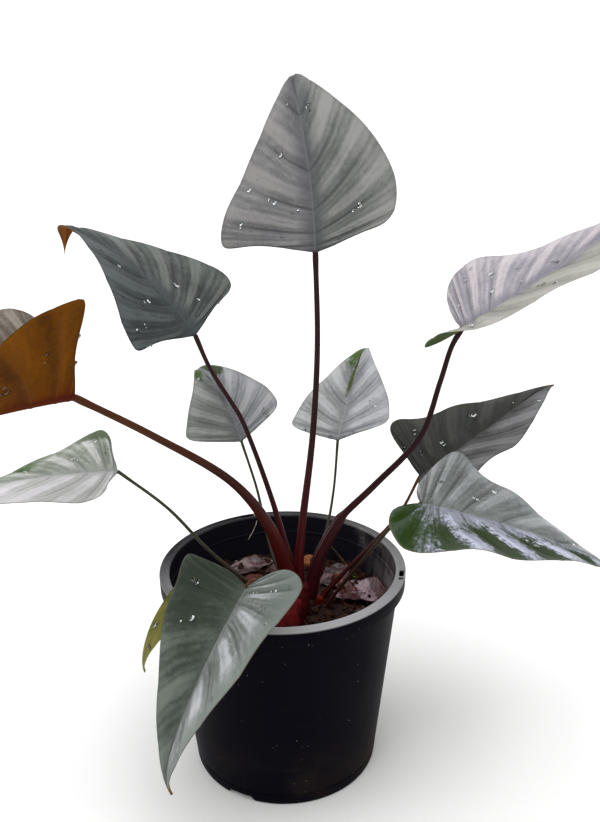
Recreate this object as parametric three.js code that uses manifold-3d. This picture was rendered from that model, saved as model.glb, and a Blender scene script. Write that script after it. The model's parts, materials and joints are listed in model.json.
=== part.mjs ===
// A homalomena growing in a black nursery pot: eleven waved leaves on long stalks, nine of them from one
// short stem and two from a side shoot. Millimetres and degrees, Z up, origin in the middle of the pot's
// flat base. Each leaf is a curved surface with a real thickness, and each stalk a tapering tube.
import * as THREE from 'three';
import Module from 'manifold-3d';
import { mergeVertices } from 'three/addons/utils/BufferGeometryUtils.js';

const wasm = await Module();
wasm.setup();
const { degToRad, clamp, lerp } = THREE.MathUtils;

// Clearance between pieces that touch, the join distance of mesh points, and a rounding guard
const GAP = 0.3;
const JOIN = 1e-3;
const TINY = 1e-9;

const POT = {
  height: 176, rimRadius: 100, rimInner: 92, rimLip: 1, skirt: 1.8, skirtDrop: 13, flange: 2,
  neckRadius: 94.5, neckHeight: 163, lowRadius: 77.2, baseRadius: 75, corner: 6, cornerSteps: 3,
  wall: 2, floor: 2.5, chamfer: 2, beadHeight: 159, bead: 0.9, beadHalf: 1, sides: 56,
};
// Wire-hanger slots in the rim, and drain notches at the foot, three of each round the pot
const SLOT = {
  heading: -9.5, count: 3, radius: 96.8, width: 3.8, length: 10, shortLength: 3.6, spacing: 8.4,
};
const NOTCH = { heading: -118, count: 3, footWidth: 26, topWidth: 19, height: 5, innerRadius: 66, below: 1 };

// The soil's surface swells and has a grain, and dips near the wall
const SOIL = {
  level: 140, rings: 9, swell: 1.5, grain: 0.9, dip: 2.5, dipStart: 55, dipWidth: 35, floorGap: 0.4,
};

// Leaf blades: thickness, depth of the midrib below and the share that it loses by the tip, rows along the
// edge and columns across
const BLADE = { thickness: 0.8, midrib: 1.5, midribTaper: 0.85, rows: 16, columns: 4 };
const STALK = { step: 11, sides: 10, slimSides: 8, slimRadius: 2 };

// The outline's lobe, shoulder and taper meet at these shares of the way round one half's edge, and the
// cleft at the stalk ends at the first. Side veins leave the midrib ever faster and sag towards the stalk.
const CLEFT = 0.1;
const LOBE_END = 0.3;
const SHOULDER_END = 0.5;
const VEIN_START = 1.5;
const VEIN_SAG = 0.05;
// The tip's curl grows with this power of the way along, and the lobes reach this share behind the stalk
const TIP_POWER = 4;
const LOBE_REACH = 0.4;
const MIDRIB_STEPS = { ahead: 36, behind: 10 };
// Waves of the edge along one half, and how far the left half's lag behind the right half's
const WAVES = 2.6;
const WAVE_LAG = 0.4;

// Leaves. Sides are [left, right], seen from the stalk with the upper face up. base is where the stalk
// meets the blade; heading, rise and roll turn the blade there; droop, sway, twist and tipCurl bend it
// along its length; fold lifts each half from the midrib, opening changes that towards the tip, and cup
// curls it across.
const LEAVES = {
  a: { base: [28, -5, 432], length: 180, half: [79, 71], lobe: [-14, -7],
    shoulder: 0.8, widest: 16, taper: 0.18, heading: 91, rise: 66, roll: 32,
    droop: 10, tipCurl: 74, sway: -26, twist: 10,
    fold: [5, 11], opening: [-9, -24], cup: [1, 0], lobeLift: -1, wave: 2, phase: 0.2 },
  b: { base: [-62, 0, 370], length: 184, half: [71, 69], lobe: [-14, -10],
    shoulder: 0.76, widest: 17, taper: -0.02, heading: 168, rise: 56, roll: 43,
    droop: 37, tipCurl: 128, sway: -22, twist: 8,
    fold: [27, -24], opening: [29, -18], cup: [3, 11], lobeLift: 0, wave: 1.5, phase: 0.8 },
  c: { base: [-134, -90, 353], length: 191, half: [86, 71], lobe: [-15, 19],
    shoulder: 0.66, widest: 18, taper: 0.14, heading: 226, rise: 6, roll: 7,
    droop: 6, tipCurl: 9, sway: -17, twist: -7,
    fold: [66, 38], opening: [-9, -7], cup: [11, 5], lobeLift: 5, wave: 2, phase: 0 },
  d: { base: [-124, -20, 269], length: 170, half: [71, 71], lobe: [-7, -5],
    shoulder: 0.57, widest: 17, taper: 0.17, heading: 190, rise: 3, roll: 7,
    droop: 27, tipCurl: -6, sway: 14, twist: 10,
    fold: [15, 0], opening: [-19, -23], cup: [2, 3], lobeLift: 0, wave: 2, phase: 0 },
  e: { base: [137, 0, 373], length: 211, half: [84, 80], lobe: [6, 21],
    shoulder: 0.56, widest: 8, taper: 0.19, heading: -12, rise: 35, roll: -12,
    droop: 9, tipCurl: -19, sway: -30, twist: 9,
    fold: [8, 23], opening: [-29, -33], cup: [2, 4], lobeLift: -1, wave: 4, phase: 0.4 },
  f: { base: [118, 62, 226], length: 168, half: [69, 72], lobe: [-2, 10],
    shoulder: 0.6, widest: 8, taper: 0.24, heading: 13, rise: 32, roll: -7,
    droop: 22, tipCurl: 16, sway: -30, twist: 8,
    fold: [8, 19], opening: [-10, -17], cup: [3, 6], lobeLift: 0, wave: 5, phase: 0.6 },
  g: { base: [100, -80, 268], length: 163, half: [72, 62], lobe: [8, 16],
    shoulder: 0.26, widest: 8, taper: 0.23, heading: -21, rise: -4, roll: -10,
    droop: 41, tipCurl: 8, sway: -34, twist: -6,
    fold: [-3, 6], opening: [-4, 7], cup: [3, 5], lobeLift: 16, wave: 5, phase: 0.6 },
  h: { base: [-34, 55, 263], length: 134, half: [46, 46], lobe: [0, 0],
    shoulder: 0.52, widest: 3, taper: 0.23, heading: 105, rise: 20, roll: 18,
    droop: -8, tipCurl: 67, sway: -20, twist: 4,
    fold: [22, 27], opening: [0, 8], cup: [4, 6], lobeLift: 0, wave: 1.2, phase: 0.8 },
  i: { base: [47, 55, 263], length: 135, half: [42, 50], lobe: [0, -2],
    shoulder: 0.52, widest: 4, taper: 0.19, heading: 75, rise: 29, roll: 8,
    droop: 0, tipCurl: 57, sway: 1, twist: 4,
    fold: [19, 22], opening: [-9, -1], cup: [7, -4], lobeLift: 0, wave: 1.5, phase: 0 },
  j: { base: [-24, -88, 207], length: 169, half: [71, 68], lobe: [19, 7],
    shoulder: 0.58, widest: -7, taper: 0.23, heading: -130, rise: -40, roll: -12,
    droop: 33, tipCurl: 30, sway: 20, twist: 2,
    fold: [13, 8], opening: [3, 17], cup: [3, 2], lobeLift: -9, wave: 2, phase: 0.4 },
  k: { base: [-45, -40, 184], length: 106, half: [23, 20], lobe: [4, 4],
    shoulder: 0.6, widest: 7, taper: 0.14, heading: -134, rise: 14, roll: 2,
    droop: 96, tipCurl: 22, sway: 14, twist: -4,
    fold: [6, 8], opening: [0, 0], cup: [4, 4], lobeLift: 0, wave: 0.8, phase: 0.3 },
};

// Stems and stalks, as stations [x, y, z, radius]. A stalk starts at its blade and ends in the stem, in
// the side shoot or in the soil; a jump in radius is the top of its sheath.
const STEM = [
  [7, -27, 98, 9.5], [8, -27, 132, 10], [9, -26, 142, 9.8], [13, -23, 155, 8.5], [16, -20, 168, 6.5],
];
const SIDE_SHOOT = [[28, -3, 104, 5], [29, -3, 135, 5], [30, -3, 146, 3.8]];
const STALKS = {
  a: [[28, -5, 432, 1.9], [29, -9, 364, 2.1], [25, -13, 294, 2.4], [15.5, -16, 213, 3.2],
    [13, -19, 178, 4.4], [15, -20, 158, 5]],
  b: [[-62, 0, 370, 1.7], [-52, -4, 346, 1.7], [-38, -9, 323, 1.8], [-30, -10, 309, 1.85],
    [-21, -11, 285, 1.9], [-6, -12, 236, 2.2], [7, -16, 185, 2.9], [12, -18, 162, 3.4]],
  c: [[-134, -90, 353, 2.4], [-86, -81, 322, 2.7], [-34, -60, 277, 3.3], [-9, -41, 232, 4.6],
    [3, -28, 188, 6.2], [9, -25, 158, 7.2]],
  e: [[137, 0, 373, 2], [130, -1.5, 360, 2], [122, -4, 333, 2.1], [108, -7, 290, 2.3],
    [73, -11, 251, 2.6], [50, -13, 228, 2.9], [46, -14, 223, 4.1], [29, -16, 189, 5], [22, -18, 158, 5.8]],
  i: [[47, 55, 263, 1.05], [43, 42, 222, 1.05], [36, 22, 195, 1.2], [24, 0, 175, 1.5], [17, -13, 157, 1.8]],
  h: [[-34, 55, 263, 1.05], [-21, 40, 224, 1.1], [-14, 24, 196, 1.2], [-6, 4, 176, 1.6],
    [6, -14, 158, 2], [10, -19, 152, 2.2]],
  d: [[-124, -20, 269, 1.25], [-86, -30, 242, 1.25], [-54.5, -36, 207.5, 1.4], [-22, -32, 174, 1.7],
    [3, -27, 152, 2]],
  j: [[-24, -88, 207, 1.8], [-19, -80, 207, 1.8], [-10, -62, 194, 1.9], [-2, -42, 172, 2.1],
    [6, -29, 151, 2.4]],
  k: [[-45, -40, 184, 1.1], [-33, -37, 176, 1.2], [-16, -32, 160, 1.4], [3, -28, 145, 1.6]],
  f: [[118, 62, 226, 1.2], [98, 34, 204, 1.3], [70, 8, 186, 1.4], [43, 2, 158, 2.1], [30, 0, 141, 2.8],
    [26, -1, 116, 2.8]],
  g: [[100, -80, 268, 1.2], [85, -58, 242, 1.3], [69, -34, 206, 1.4], [48, -15, 165, 1.5], [36, -8, 142, 1.6],
    [30, -5, 118, 1.6]],
};
const PAPERY_SHEATH = [[4, -29, 134, 10.5], [5, -29, 146, 10], [9, -27, 160, 7]];

// Dried leaf pieces on the soil: middle, heading, length, half width, how far the long edges and the
// tip curl up. All have blunt ends and rippled edges, and curl less at the stem end.
const DRY_LEAVES = {
  dry_leaf_right: { at: [67, 14], heading: -25, length: 44, half: 15, edgeCurl: 7, tipCurl: 4 },
  dry_leaf_middle: { at: [44, 38], heading: 62, length: 34, half: 11, edgeCurl: 5, tipCurl: 6 },
  dry_leaf_left: { at: [-30, 56], heading: 24, length: 46, half: 11, edgeCurl: 7, tipCurl: 2 },
};
const DRY_LEAF = {
  thickness: 0.8, rows: 8, columns: 3, lift: 0.9, bluntness: 2.6, ripple: 0.12, stemCurl: 0.2,
};
const CHIPS = {
  bark_left: { at: [-27, 34], heading: 20, size: [17, 11, 7] },
  bark_back: { at: [21, 68], heading: 70, size: [15, 8, 8] },
};
const CHIP = { sink: 2, rounding: 0.45, crown: 0.12, taller: 0.25, wider: 0.2, clearance: 1.6 };
const TWIG = [[59, 50, 140.2, 1.1], [51, 63, 146, 1.2], [41.6, 79.4, 151, 0.9]];

const v3 = (point) => new THREE.Vector3(point[0], point[1], point[2]);

// Geometry with its places alone, and its shared points joined
function joined(geometry) {
  const bare = geometry.clone();
  bare.deleteAttribute('normal');
  bare.deleteAttribute('uv');
  return mergeVertices(bare);
}

// Closed geometry to solid and back
function toSolid(geometry) {
  const merged = joined(geometry);
  return new wasm.Manifold(new wasm.Mesh({
    numProp: 3,
    vertProperties: new Float32Array(merged.attributes.position.array),
    triVerts: new Uint32Array(merged.index.array),
  }));
}

function toGeometry(solid) {
  const mesh = solid.getMesh();
  const geometry = new THREE.BufferGeometry();
  geometry.setAttribute('position', new THREE.BufferAttribute(new Float32Array(mesh.vertProperties), 3));
  geometry.setIndex(Array.from(mesh.triVerts));
  return geometry;
}

// A cut can leave a loose scrap, which is dropped
function largest(solid) {
  const bodies = solid.decompose();
  return bodies.reduce((best, body) => (body.volume() > best.volume() ? body : best));
}

// Leaf outline: three arcs for one half, from the stalk round the lobe and the shoulder to the tip
function halfOutline(leaf, side) {
  const { length, shoulder, widest, taper } = leaf;
  const half = leaf.half[side];
  const lobe = leaf.lobe[side];
  const p = (along, across) => new THREE.Vector2(along, across);
  const top = shoulder * half;
  const lobeArc = new THREE.CubicBezierCurve(
    p(0, 0), p(-0.35 * lobe - 0.04 * top, 0.25 * top), p(-lobe, 0.62 * top), p(-lobe, top),
  );
  const shoulderArc = new THREE.CubicBezierCurve(
    p(-lobe, top), p(-lobe, (half + top) / 2), p((widest - lobe) / 2, half), p(widest, half),
  );
  const tipArc = new THREE.CubicBezierCurve(
    p(widest, half), p(widest + 0.28 * length, half), p(0.66 * length, 0.34 * taper * length), p(length, 0),
  );
  return (t) => {
    if (t < LOBE_END) return lobeArc.getPoint(t / LOBE_END);
    if (t < SHOULDER_END) return shoulderArc.getPoint((t - LOBE_END) / (SHOULDER_END - LOBE_END));
    return tipArc.getPoint((t - SHOULDER_END) / (1 - SHOULDER_END));
  };
}

// Share of the way from the cleft at the stalk to the tip
function roundShare(t) {
  return (t - CLEFT) / (1 - CLEFT);
}

// Where the side vein that ends at t leaves the midrib, in mm from the stalk
function veinStart(leaf, t) {
  return leaf.length * roundShare(t) ** VEIN_START;
}

// Bent midrib: place, forward, up and right at each step, marched both ways from the stalk
function midribFrames(leaf) {
  const heading = degToRad(leaf.heading);
  const rise = degToRad(leaf.rise);
  const start = { place: new THREE.Vector3() };
  start.forward = new THREE.Vector3(
    Math.cos(heading) * Math.cos(rise), Math.sin(heading) * Math.cos(rise), Math.sin(rise),
  );
  start.right = new THREE.Vector3(Math.sin(heading), -Math.cos(heading), 0);
  start.up = start.right.clone().cross(start.forward);
  start.right.applyAxisAngle(start.forward, -degToRad(leaf.roll));
  start.up.applyAxisAngle(start.forward, -degToRad(leaf.roll));
  const march = (reach, steps, bends) => {
    const frames = [{ share: 0, ...start }];
    const step = reach / steps;
    let { place, forward, up, right } = start;
    for (let i = 0; i < steps; i += 1) {
      const bend = bends((i + 0.5) * step);
      place = place.clone();
      for (const halfStep of [0, 1]) {
        const turn = (vector, axis, angle) => vector.clone().applyAxisAngle(axis, degToRad(angle * step) / 2);
        [forward, up] = [turn(forward, right, -bend.droop), turn(up, right, -bend.droop)];
        [forward, right] = [turn(forward, up, -bend.sway), turn(right, up, -bend.sway)];
        [up, right] = [turn(up, forward, bend.twist), turn(right, forward, bend.twist)];
        if (halfStep === 0) place.addScaledVector(forward, step * leaf.length);
      }
      frames.push({ share: (i + 1) * step, place, forward, up, right });
    }
    return frames;
  };
  const ahead = march(1, MIDRIB_STEPS.ahead, (share) => ({
    droop: leaf.droop + leaf.tipCurl * (TIP_POWER + 1) * share ** TIP_POWER,
    sway: leaf.sway,
    twist: leaf.twist,
  }));
  const lobeBend = { droop: leaf.lobeLift / LOBE_REACH, sway: 0, twist: 0 };
  const behind = march(-LOBE_REACH, MIDRIB_STEPS.behind, () => lobeBend);
  return [...behind.slice(1).reverse(), ...ahead];
}

// Flat leaf coordinates to a point in space; side 0 is left and 1 is right
function bentSurface(leaf) {
  const frames = midribFrames(leaf);
  const base = v3(leaf.base);
  const frameAt = (share) => {
    const next = Math.max(frames.findIndex((frame) => frame.share >= share - TINY), 1);
    const [a, b] = [frames[next - 1], frames[next]];
    const mix = (share - a.share) / (b.share - a.share);
    return {
      place: a.place.clone().lerp(b.place, mix),
      up: a.up.clone().lerp(b.up, mix),
      right: a.right.clone().lerp(b.right, mix),
    };
  };
  return (along, across, side) => {
    const share = along / leaf.length;
    const ahead = clamp(share, 0, 1);
    const { place, up, right } = frameAt(share);
    const fold = degToRad(leaf.fold[side] + leaf.opening[side] * ahead);
    const curl = degToRad(leaf.cup[side]) / leaf.half[side];
    let out = across * Math.cos(fold);
    let lift = across * Math.sin(fold);
    if (Math.abs(curl) > TINY) {
      out = (Math.sin(fold + curl * across) - Math.sin(fold)) / curl;
      lift = (Math.cos(fold) - Math.cos(fold + curl * across)) / curl;
    }
    const phase = leaf.phase + (side === 1 ? 0 : WAVE_LAG);
    const edge = clamp(across / leaf.half[side], 0, 1) ** 2;
    lift += leaf.wave * Math.sin(2 * Math.PI * (WAVES * share + phase)) * edge;
    return base.clone().add(place).addScaledVector(right, side === 1 ? out : -out).addScaledVector(up, lift);
  };
}

// One leaf's middle surface as triangles that follow its side veins, with the share of midrib at each
function leafSheet(leaf) {
  const surface = bentSurface(leaf);
  const positions = [];
  const ribs = [];
  for (const side of [0, 1]) {
    const outline = halfOutline(leaf, side);
    const point = (row, column) => {
      const t = lerp(CLEFT, 1, row / BLADE.rows);
      const r = column / BLADE.columns;
      const edge = outline(t);
      const start = veinStart(leaf, t);
      const sag = VEIN_SAG * Math.min(3 * roundShare(t), 1) ** 2;
      const bow = { along: (start + edge.x) / 2 - sag * edge.y, across: 0.54 * edge.y };
      const along = (1 - r) ** 2 * start + 2 * r * (1 - r) * bow.along + r * r * edge.x;
      const across = Math.max(2 * r * (1 - r) * bow.across + r * r * edge.y, 0);
      const rib = column === 0 ? 1 - BLADE.midribTaper * clamp(along / leaf.length, 0, 1) : 0;
      return { place: surface(along, across, side), rib };
    };
    const triangle = (...corners) => {
      const [a, b, c] = side === 1 ? corners : [corners[0], corners[2], corners[1]];
      for (const { place, rib } of [a, b, c]) {
        positions.push(place.x, place.y, place.z);
        ribs.push(rib);
      }
    };
    for (let row = 0; row < BLADE.rows; row += 1) {
      for (let column = 0; column < BLADE.columns; column += 1) {
        const near = point(row, column);
        const out = point(row, column + 1);
        const ahead = point(row + 1, column);
        const far = point(row + 1, column + 1);
        triangle(near, out, far);
        triangle(near, far, ahead);
      }
    }
  }
  return mergedSheet(positions, ribs);
}

// Joined sheet without collapsed triangles
function mergedSheet(positions, ribs) {
  const loose = new THREE.BufferGeometry();
  loose.setAttribute('position', new THREE.Float32BufferAttribute(positions, 3));
  loose.setAttribute('rib', new THREE.Float32BufferAttribute(ribs, 1));
  const sheet = mergeVertices(loose, JOIN);
  const kept = [];
  for (let i = 0; i < sheet.index.count; i += 3) {
    const [a, b, c] = [0, 1, 2].map((k) => sheet.index.getX(i + k));
    if (a !== b && b !== c && c !== a) kept.push(a, b, c);
  }
  sheet.setIndex(kept);
  sheet.computeVertexNormals();
  return sheet;
}

// A sheet thickened both ways along its normals and closed round its edge; rib adds depth below, and
// spread moves the edge outwards
function thicken(sheet, thickness, midrib, spread = 0) {
  const { position, normal, rib } = sheet.attributes;
  const count = position.count;
  const index = Array.from(sheet.index.array);
  const at = (i) => new THREE.Vector3().fromBufferAttribute(position, i);
  const upAt = (i) => new THREE.Vector3().fromBufferAttribute(normal, i);
  const edges = new Map();
  for (let i = 0; i < index.length; i += 3) {
    for (const k of [0, 1, 2]) {
      const a = index[i + k];
      const b = index[i + ((k + 1) % 3)];
      if (!edges.delete(`${b},${a}`)) edges.set(`${a},${b}`, [a, b]);
    }
  }
  const outward = Array.from({ length: count }, () => new THREE.Vector3());
  for (const [a, b] of edges.values()) {
    const out = at(b).sub(at(a)).cross(upAt(a)).normalize();
    outward[a].add(out);
    outward[b].add(out);
  }
  const points = new Float32Array(count * 6);
  for (let i = 0; i < count; i += 1) {
    const middle = at(i).addScaledVector(outward[i].normalize(), spread);
    const up = upAt(i);
    middle.clone().addScaledVector(up, thickness / 2).toArray(points, i * 3);
    middle.addScaledVector(up, -thickness / 2 - midrib * rib.getX(i)).toArray(points, (count + i) * 3);
  }
  const below = [];
  for (let i = 0; i < index.length; i += 3) {
    below.push(index[i] + count, index[i + 2] + count, index[i + 1] + count);
  }
  const wall = [];
  for (const [a, b] of edges.values()) wall.push(a, a + count, b + count, a, b + count, b);
  const solid = new THREE.BufferGeometry();
  solid.setAttribute('position', new THREE.BufferAttribute(points, 3));
  solid.setIndex([...index, ...below, ...wall]);
  return solid;
}

// A tapering tube with closed ends through stations [x, y, z, radius], grown all round by grow, with its
// first end drawn back by trim
function tube(stations, grow = 0, trim = 0) {
  const path = new THREE.CatmullRomCurve3(stations.map(v3), false, 'centripetal');
  const sides = stations[0][3] < STALK.slimRadius ? STALK.slimSides : STALK.sides;
  const spans = stations.length - 1;
  const shares = [];
  for (let span = 0; span < spans; span += 1) {
    const reach = v3(stations[span]).distanceTo(v3(stations[span + 1]));
    const steps = Math.max(1, Math.round(reach / STALK.step));
    for (let i = 0; i < steps; i += 1) shares.push((span + i / steps) / spans);
  }
  shares.push(1);
  const positions = [];
  let across = new THREE.Vector3(1, 0, 0);
  shares.forEach((share) => {
    const forward = path.getTangent(share);
    across = across.clone().addScaledVector(forward, -across.dot(forward)).normalize();
    const other = forward.clone().cross(across);
    const span = Math.min(Math.floor(share * spans + TINY), spans - 1);
    const radius = lerp(stations[span][3], stations[span + 1][3], share * spans - span) + grow;
    const slide = (share === 0 ? trim - grow : 0) + (share === 1 ? grow : 0);
    for (let i = 0; i < sides; i += 1) {
      const angle = (2 * Math.PI * i) / sides;
      const corner = path.getPoint(share).addScaledVector(forward, slide);
      corner.addScaledVector(across, radius * Math.cos(angle));
      corner.addScaledVector(other, radius * Math.sin(angle));
      positions.push(corner.x, corner.y, corner.z);
    }
  });
  const index = [];
  const rings = shares.length;
  for (let ring = 0; ring < rings - 1; ring += 1) {
    for (let i = 0; i < sides; i += 1) {
      const a = ring * sides + i;
      const b = ring * sides + ((i + 1) % sides);
      index.push(a, b, b + sides, a, b + sides, a + sides);
    }
  }
  for (let i = 1; i < sides - 1; i += 1) {
    const last = (rings - 1) * sides;
    index.push(0, i + 1, i, last, last + i, last + i + 1);
  }
  const geometry = new THREE.BufferGeometry();
  geometry.setAttribute('position', new THREE.Float32BufferAttribute(positions, 3));
  geometry.setIndex(index);
  return geometry;
}

// Radius of the pot's outer wall at a height
function wallRadius(height) {
  return lerp(POT.lowRadius, POT.neckRadius, (height - POT.corner) / (POT.neckHeight - POT.corner));
}

function turned(profile) {
  const points = profile.map(([r, z]) => new THREE.Vector2(r, z));
  return new THREE.LatheGeometry(points, POT.sides).rotateX(Math.PI / 2);
}

function potSolid() {
  const { height, rimRadius, rimInner, rimLip, skirt, skirtDrop, flange, corner, wall, floor } = POT;
  const { beadHeight, beadHalf, bead } = POT;
  const under = height - flange;
  const inner = (z) => wallRadius(z) - wall;
  const cornerArc = Array.from({ length: POT.cornerSteps + 1 }, (_, i) => {
    const angle = (i / POT.cornerSteps) * (Math.PI / 2);
    const reach = POT.lowRadius - POT.baseRadius;
    return [POT.baseRadius + reach * Math.sin(angle), corner * (1 - Math.cos(angle))];
  });
  const profile = [
    [0, 0], ...cornerArc, [POT.neckRadius, POT.neckHeight], [POT.neckRadius, under],
    [rimRadius - skirt, under], [rimRadius - skirt, height - skirtDrop], [rimRadius, height - skirtDrop],
    [rimRadius, height - rimLip], [rimRadius - rimLip, height], [rimInner + rimLip / 2, height],
    [rimInner, height - rimLip / 2], [inner(beadHeight + beadHalf), beadHeight + beadHalf],
    [inner(beadHeight) - bead, beadHeight], [inner(beadHeight - beadHalf), beadHeight - beadHalf],
    [inner(floor + corner), floor + corner], [inner(floor + corner) - POT.chamfer, floor], [0, floor],
  ];
  let body = toSolid(turned(profile));
  for (let i = 0; i < SLOT.count; i += 1) {
    const heading = SLOT.heading + (360 / SLOT.count) * i;
    body = body.subtract(slotCutter(heading, SLOT.length, 0));
    body = body.subtract(slotCutter(heading, SLOT.shortLength, -SLOT.spacing));
  }
  for (let i = 0; i < NOTCH.count; i += 1) {
    body = body.subtract(notchCutter(NOTCH.heading + (360 / NOTCH.count) * i));
  }
  return body;
}

function slotCutter(heading, length, shift) {
  const box = new THREE.BoxGeometry(SLOT.width, length, 6 * POT.flange);
  box.translate(SLOT.radius, shift, POT.height).rotateZ(degToRad(heading));
  return toSolid(box);
}

function notchCutter(heading) {
  const { footWidth, topWidth, height, innerRadius, below } = NOTCH;
  const foot = footWidth / 2 + below;
  const shape = new THREE.Shape([
    new THREE.Vector2(-foot, -below), new THREE.Vector2(foot, -below),
    new THREE.Vector2(topWidth / 2, height), new THREE.Vector2(-topWidth / 2, height),
  ]);
  const block = new THREE.ExtrudeGeometry(shape, { depth: POT.rimRadius - innerRadius, bevelEnabled: false });
  block.rotateX(Math.PI / 2).rotateZ(Math.PI / 2).translate(innerRadius, 0, 0).rotateZ(degToRad(heading));
  return toSolid(block);
}

// Height of the soil's uneven surface
function soilHeight(x, y) {
  const swell = SOIL.swell * Math.sin(x / 17 + 0.6) * Math.cos(y / 21 - 0.4);
  const grain = SOIL.grain * Math.sin(x / 7.5 + y / 11 + 1.3) * Math.cos(y / 6.5 - x / 13);
  const fall = SOIL.dip * clamp((Math.hypot(x, y) - SOIL.dipStart) / SOIL.dipWidth, 0, 1) ** 2;
  return SOIL.level + swell + grain - fall;
}

function soilSolid(holes) {
  const top = SOIL.level - SOIL.dip;
  const edge = wallRadius(top) - POT.wall - 2 * GAP;
  const positions = [0, 0, soilHeight(0, 0)];
  const ring = (radius, heightAt) => {
    for (let i = 0; i < POT.sides; i += 1) {
      const angle = (2 * Math.PI * i) / POT.sides;
      const [x, y] = [radius * Math.sin(angle), -radius * Math.cos(angle)];
      positions.push(x, y, heightAt(x, y));
    }
  };
  for (let i = 1; i <= SOIL.rings; i += 1) ring((edge * i) / SOIL.rings, soilHeight);
  const low = POT.floor + POT.corner;
  const lowRadius = wallRadius(low) - POT.wall - GAP;
  const bottom = POT.floor + SOIL.floorGap;
  ring(lowRadius, () => low + 2 * GAP);
  ring(lowRadius - POT.chamfer - GAP, () => bottom);
  positions.push(0, 0, bottom);
  const index = [];
  const rings = SOIL.rings + 2;
  for (let i = 0; i < POT.sides; i += 1) {
    const next = (i + 1) % POT.sides;
    index.push(0, 1 + i, 1 + next);
    for (let k = 0; k < rings - 1; k += 1) {
      const [a, b] = [1 + k * POT.sides + i, 1 + k * POT.sides + next];
      index.push(a, a + POT.sides, b + POT.sides, a, b + POT.sides, b);
    }
    const last = 1 + (rings - 1) * POT.sides;
    index.push(last + i, last + POT.sides, last + next);
  }
  const geometry = new THREE.BufferGeometry();
  geometry.setAttribute('position', new THREE.Float32BufferAttribute(positions, 3));
  geometry.setIndex(index);
  return largest(holes.reduce((body, hole) => body.subtract(hole), toSolid(geometry)));
}

// A dried leaf piece: a pointed oval plate that follows the soil and curls up at its edges
function dryLeaf({ at, heading, length, half, edgeCurl, tipCurl }) {
  const turn = degToRad(heading);
  const positions = [];
  const ribs = [];
  const point = (row, column) => {
    const along = (row / DRY_LEAF.rows - 0.5) * 2;
    const across = (column / DRY_LEAF.columns) * 2 - 1;
    const end = Math.sqrt(1 - Math.abs(along) ** DRY_LEAF.bluntness);
    const width = half * end * (1 + DRY_LEAF.ripple * Math.sin(5 * along));
    const [u, v] = [(along * length) / 2, across * width];
    const x = at[0] + u * Math.cos(turn) - v * Math.sin(turn);
    const y = at[1] + u * Math.sin(turn) + v * Math.cos(turn);
    const edge = edgeCurl * (v / half) ** 2 * lerp(DRY_LEAF.stemCurl, 1, (along + 1) / 2);
    const tip = tipCurl * clamp(along, 0, 1) ** 3;
    return [x, y, soilHeight(x, y) + DRY_LEAF.lift + edge + tip];
  };
  for (let row = 0; row < DRY_LEAF.rows; row += 1) {
    for (let column = 0; column < DRY_LEAF.columns; column += 1) {
      const near = point(row, column);
      const far = point(row + 1, column + 1);
      positions.push(...near, ...point(row + 1, column), ...far, ...near, ...far, ...point(row, column + 1));
      ribs.push(0, 0, 0, 0, 0, 0);
    }
  }
  return thicken(mergedSheet(positions, ribs), DRY_LEAF.thickness, 0);
}

// A bark chip: a rounded block with uneven faces, pressed a little into the soil, grown all round by grow
function barkChip({ at, heading, size }, grow = 0) {
  const [long, wide, tall] = size;
  const block = joined(new THREE.BoxGeometry(1, 1, 1, 4, 3, 2));
  const { position } = block.attributes;
  for (let i = 0; i < position.count; i += 1) {
    const p = new THREE.Vector3().fromBufferAttribute(position, i);
    const reach = Math.max(Math.abs(p.x), Math.abs(p.y), Math.abs(p.z));
    p.lerp(p.clone().setLength(reach + CHIP.crown), CHIP.rounding);
    p.z *= 1 + CHIP.taller * Math.sin(9 * p.x + 2);
    p.y *= 1 + CHIP.wider * Math.sin(7 * p.x - 1);
    const out = p.clone().setLength(CHIP.clearance * grow);
    position.setXYZ(i, p.x * long + out.x, p.y * wide + out.y, p.z * tall + out.z);
  }
  block.rotateZ(degToRad(heading));
  return block.translate(at[0], at[1], soilHeight(at[0], at[1]) + tall / 2 - CHIP.sink);
}

function material(colour, roughness) {
  return new THREE.MeshStandardMaterial({ color: colour, roughness, metalness: 0, side: THREE.FrontSide });
}

const plant = new THREE.Group();
function place(name, geometry, finish) {
  const mesh = new THREE.Mesh(geometry, finish);
  mesh.name = name;
  plant.add(mesh);
}

const PLASTIC = material(0x17171a, 0.45);
const MIX = material(0x3a2a22, 0.9);
const MAROON = material(0x3b1418, 0.45);
const OLIVE = material(0x55503c, 0.5);
const RED_SHEATH = material(0x6a2320, 0.5);
const SILVER = material(0x8f9a94, 0.4);
const GREEN = material(0x5d7040, 0.4);
const DRY = material(0x5b3f3d, 0.35);
const BARK = material(0x6b4630, 0.85);

const OLIVE_STALKS = ['d', 'h', 'i', 'k', 'g'];
const GREEN_BLADES = ['k'];

place('pot', toGeometry(potSolid()), PLASTIC);

// The stem and the side shoot stand whole; each stalk is cut clear of them, of its own blade and of the
// stalks inside it, so that the sheaths wrap round one another
const stem = toSolid(tube(STEM));
place('stem', toGeometry(stem), RED_SHEATH);
const cutters = [toSolid(tube(STEM, GAP))];

const sideShoot = toSolid(tube(SIDE_SHOOT));
place('side_shoot', toGeometry(sideShoot), RED_SHEATH);
cutters.push(toSolid(tube(SIDE_SHOOT, GAP)));

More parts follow.
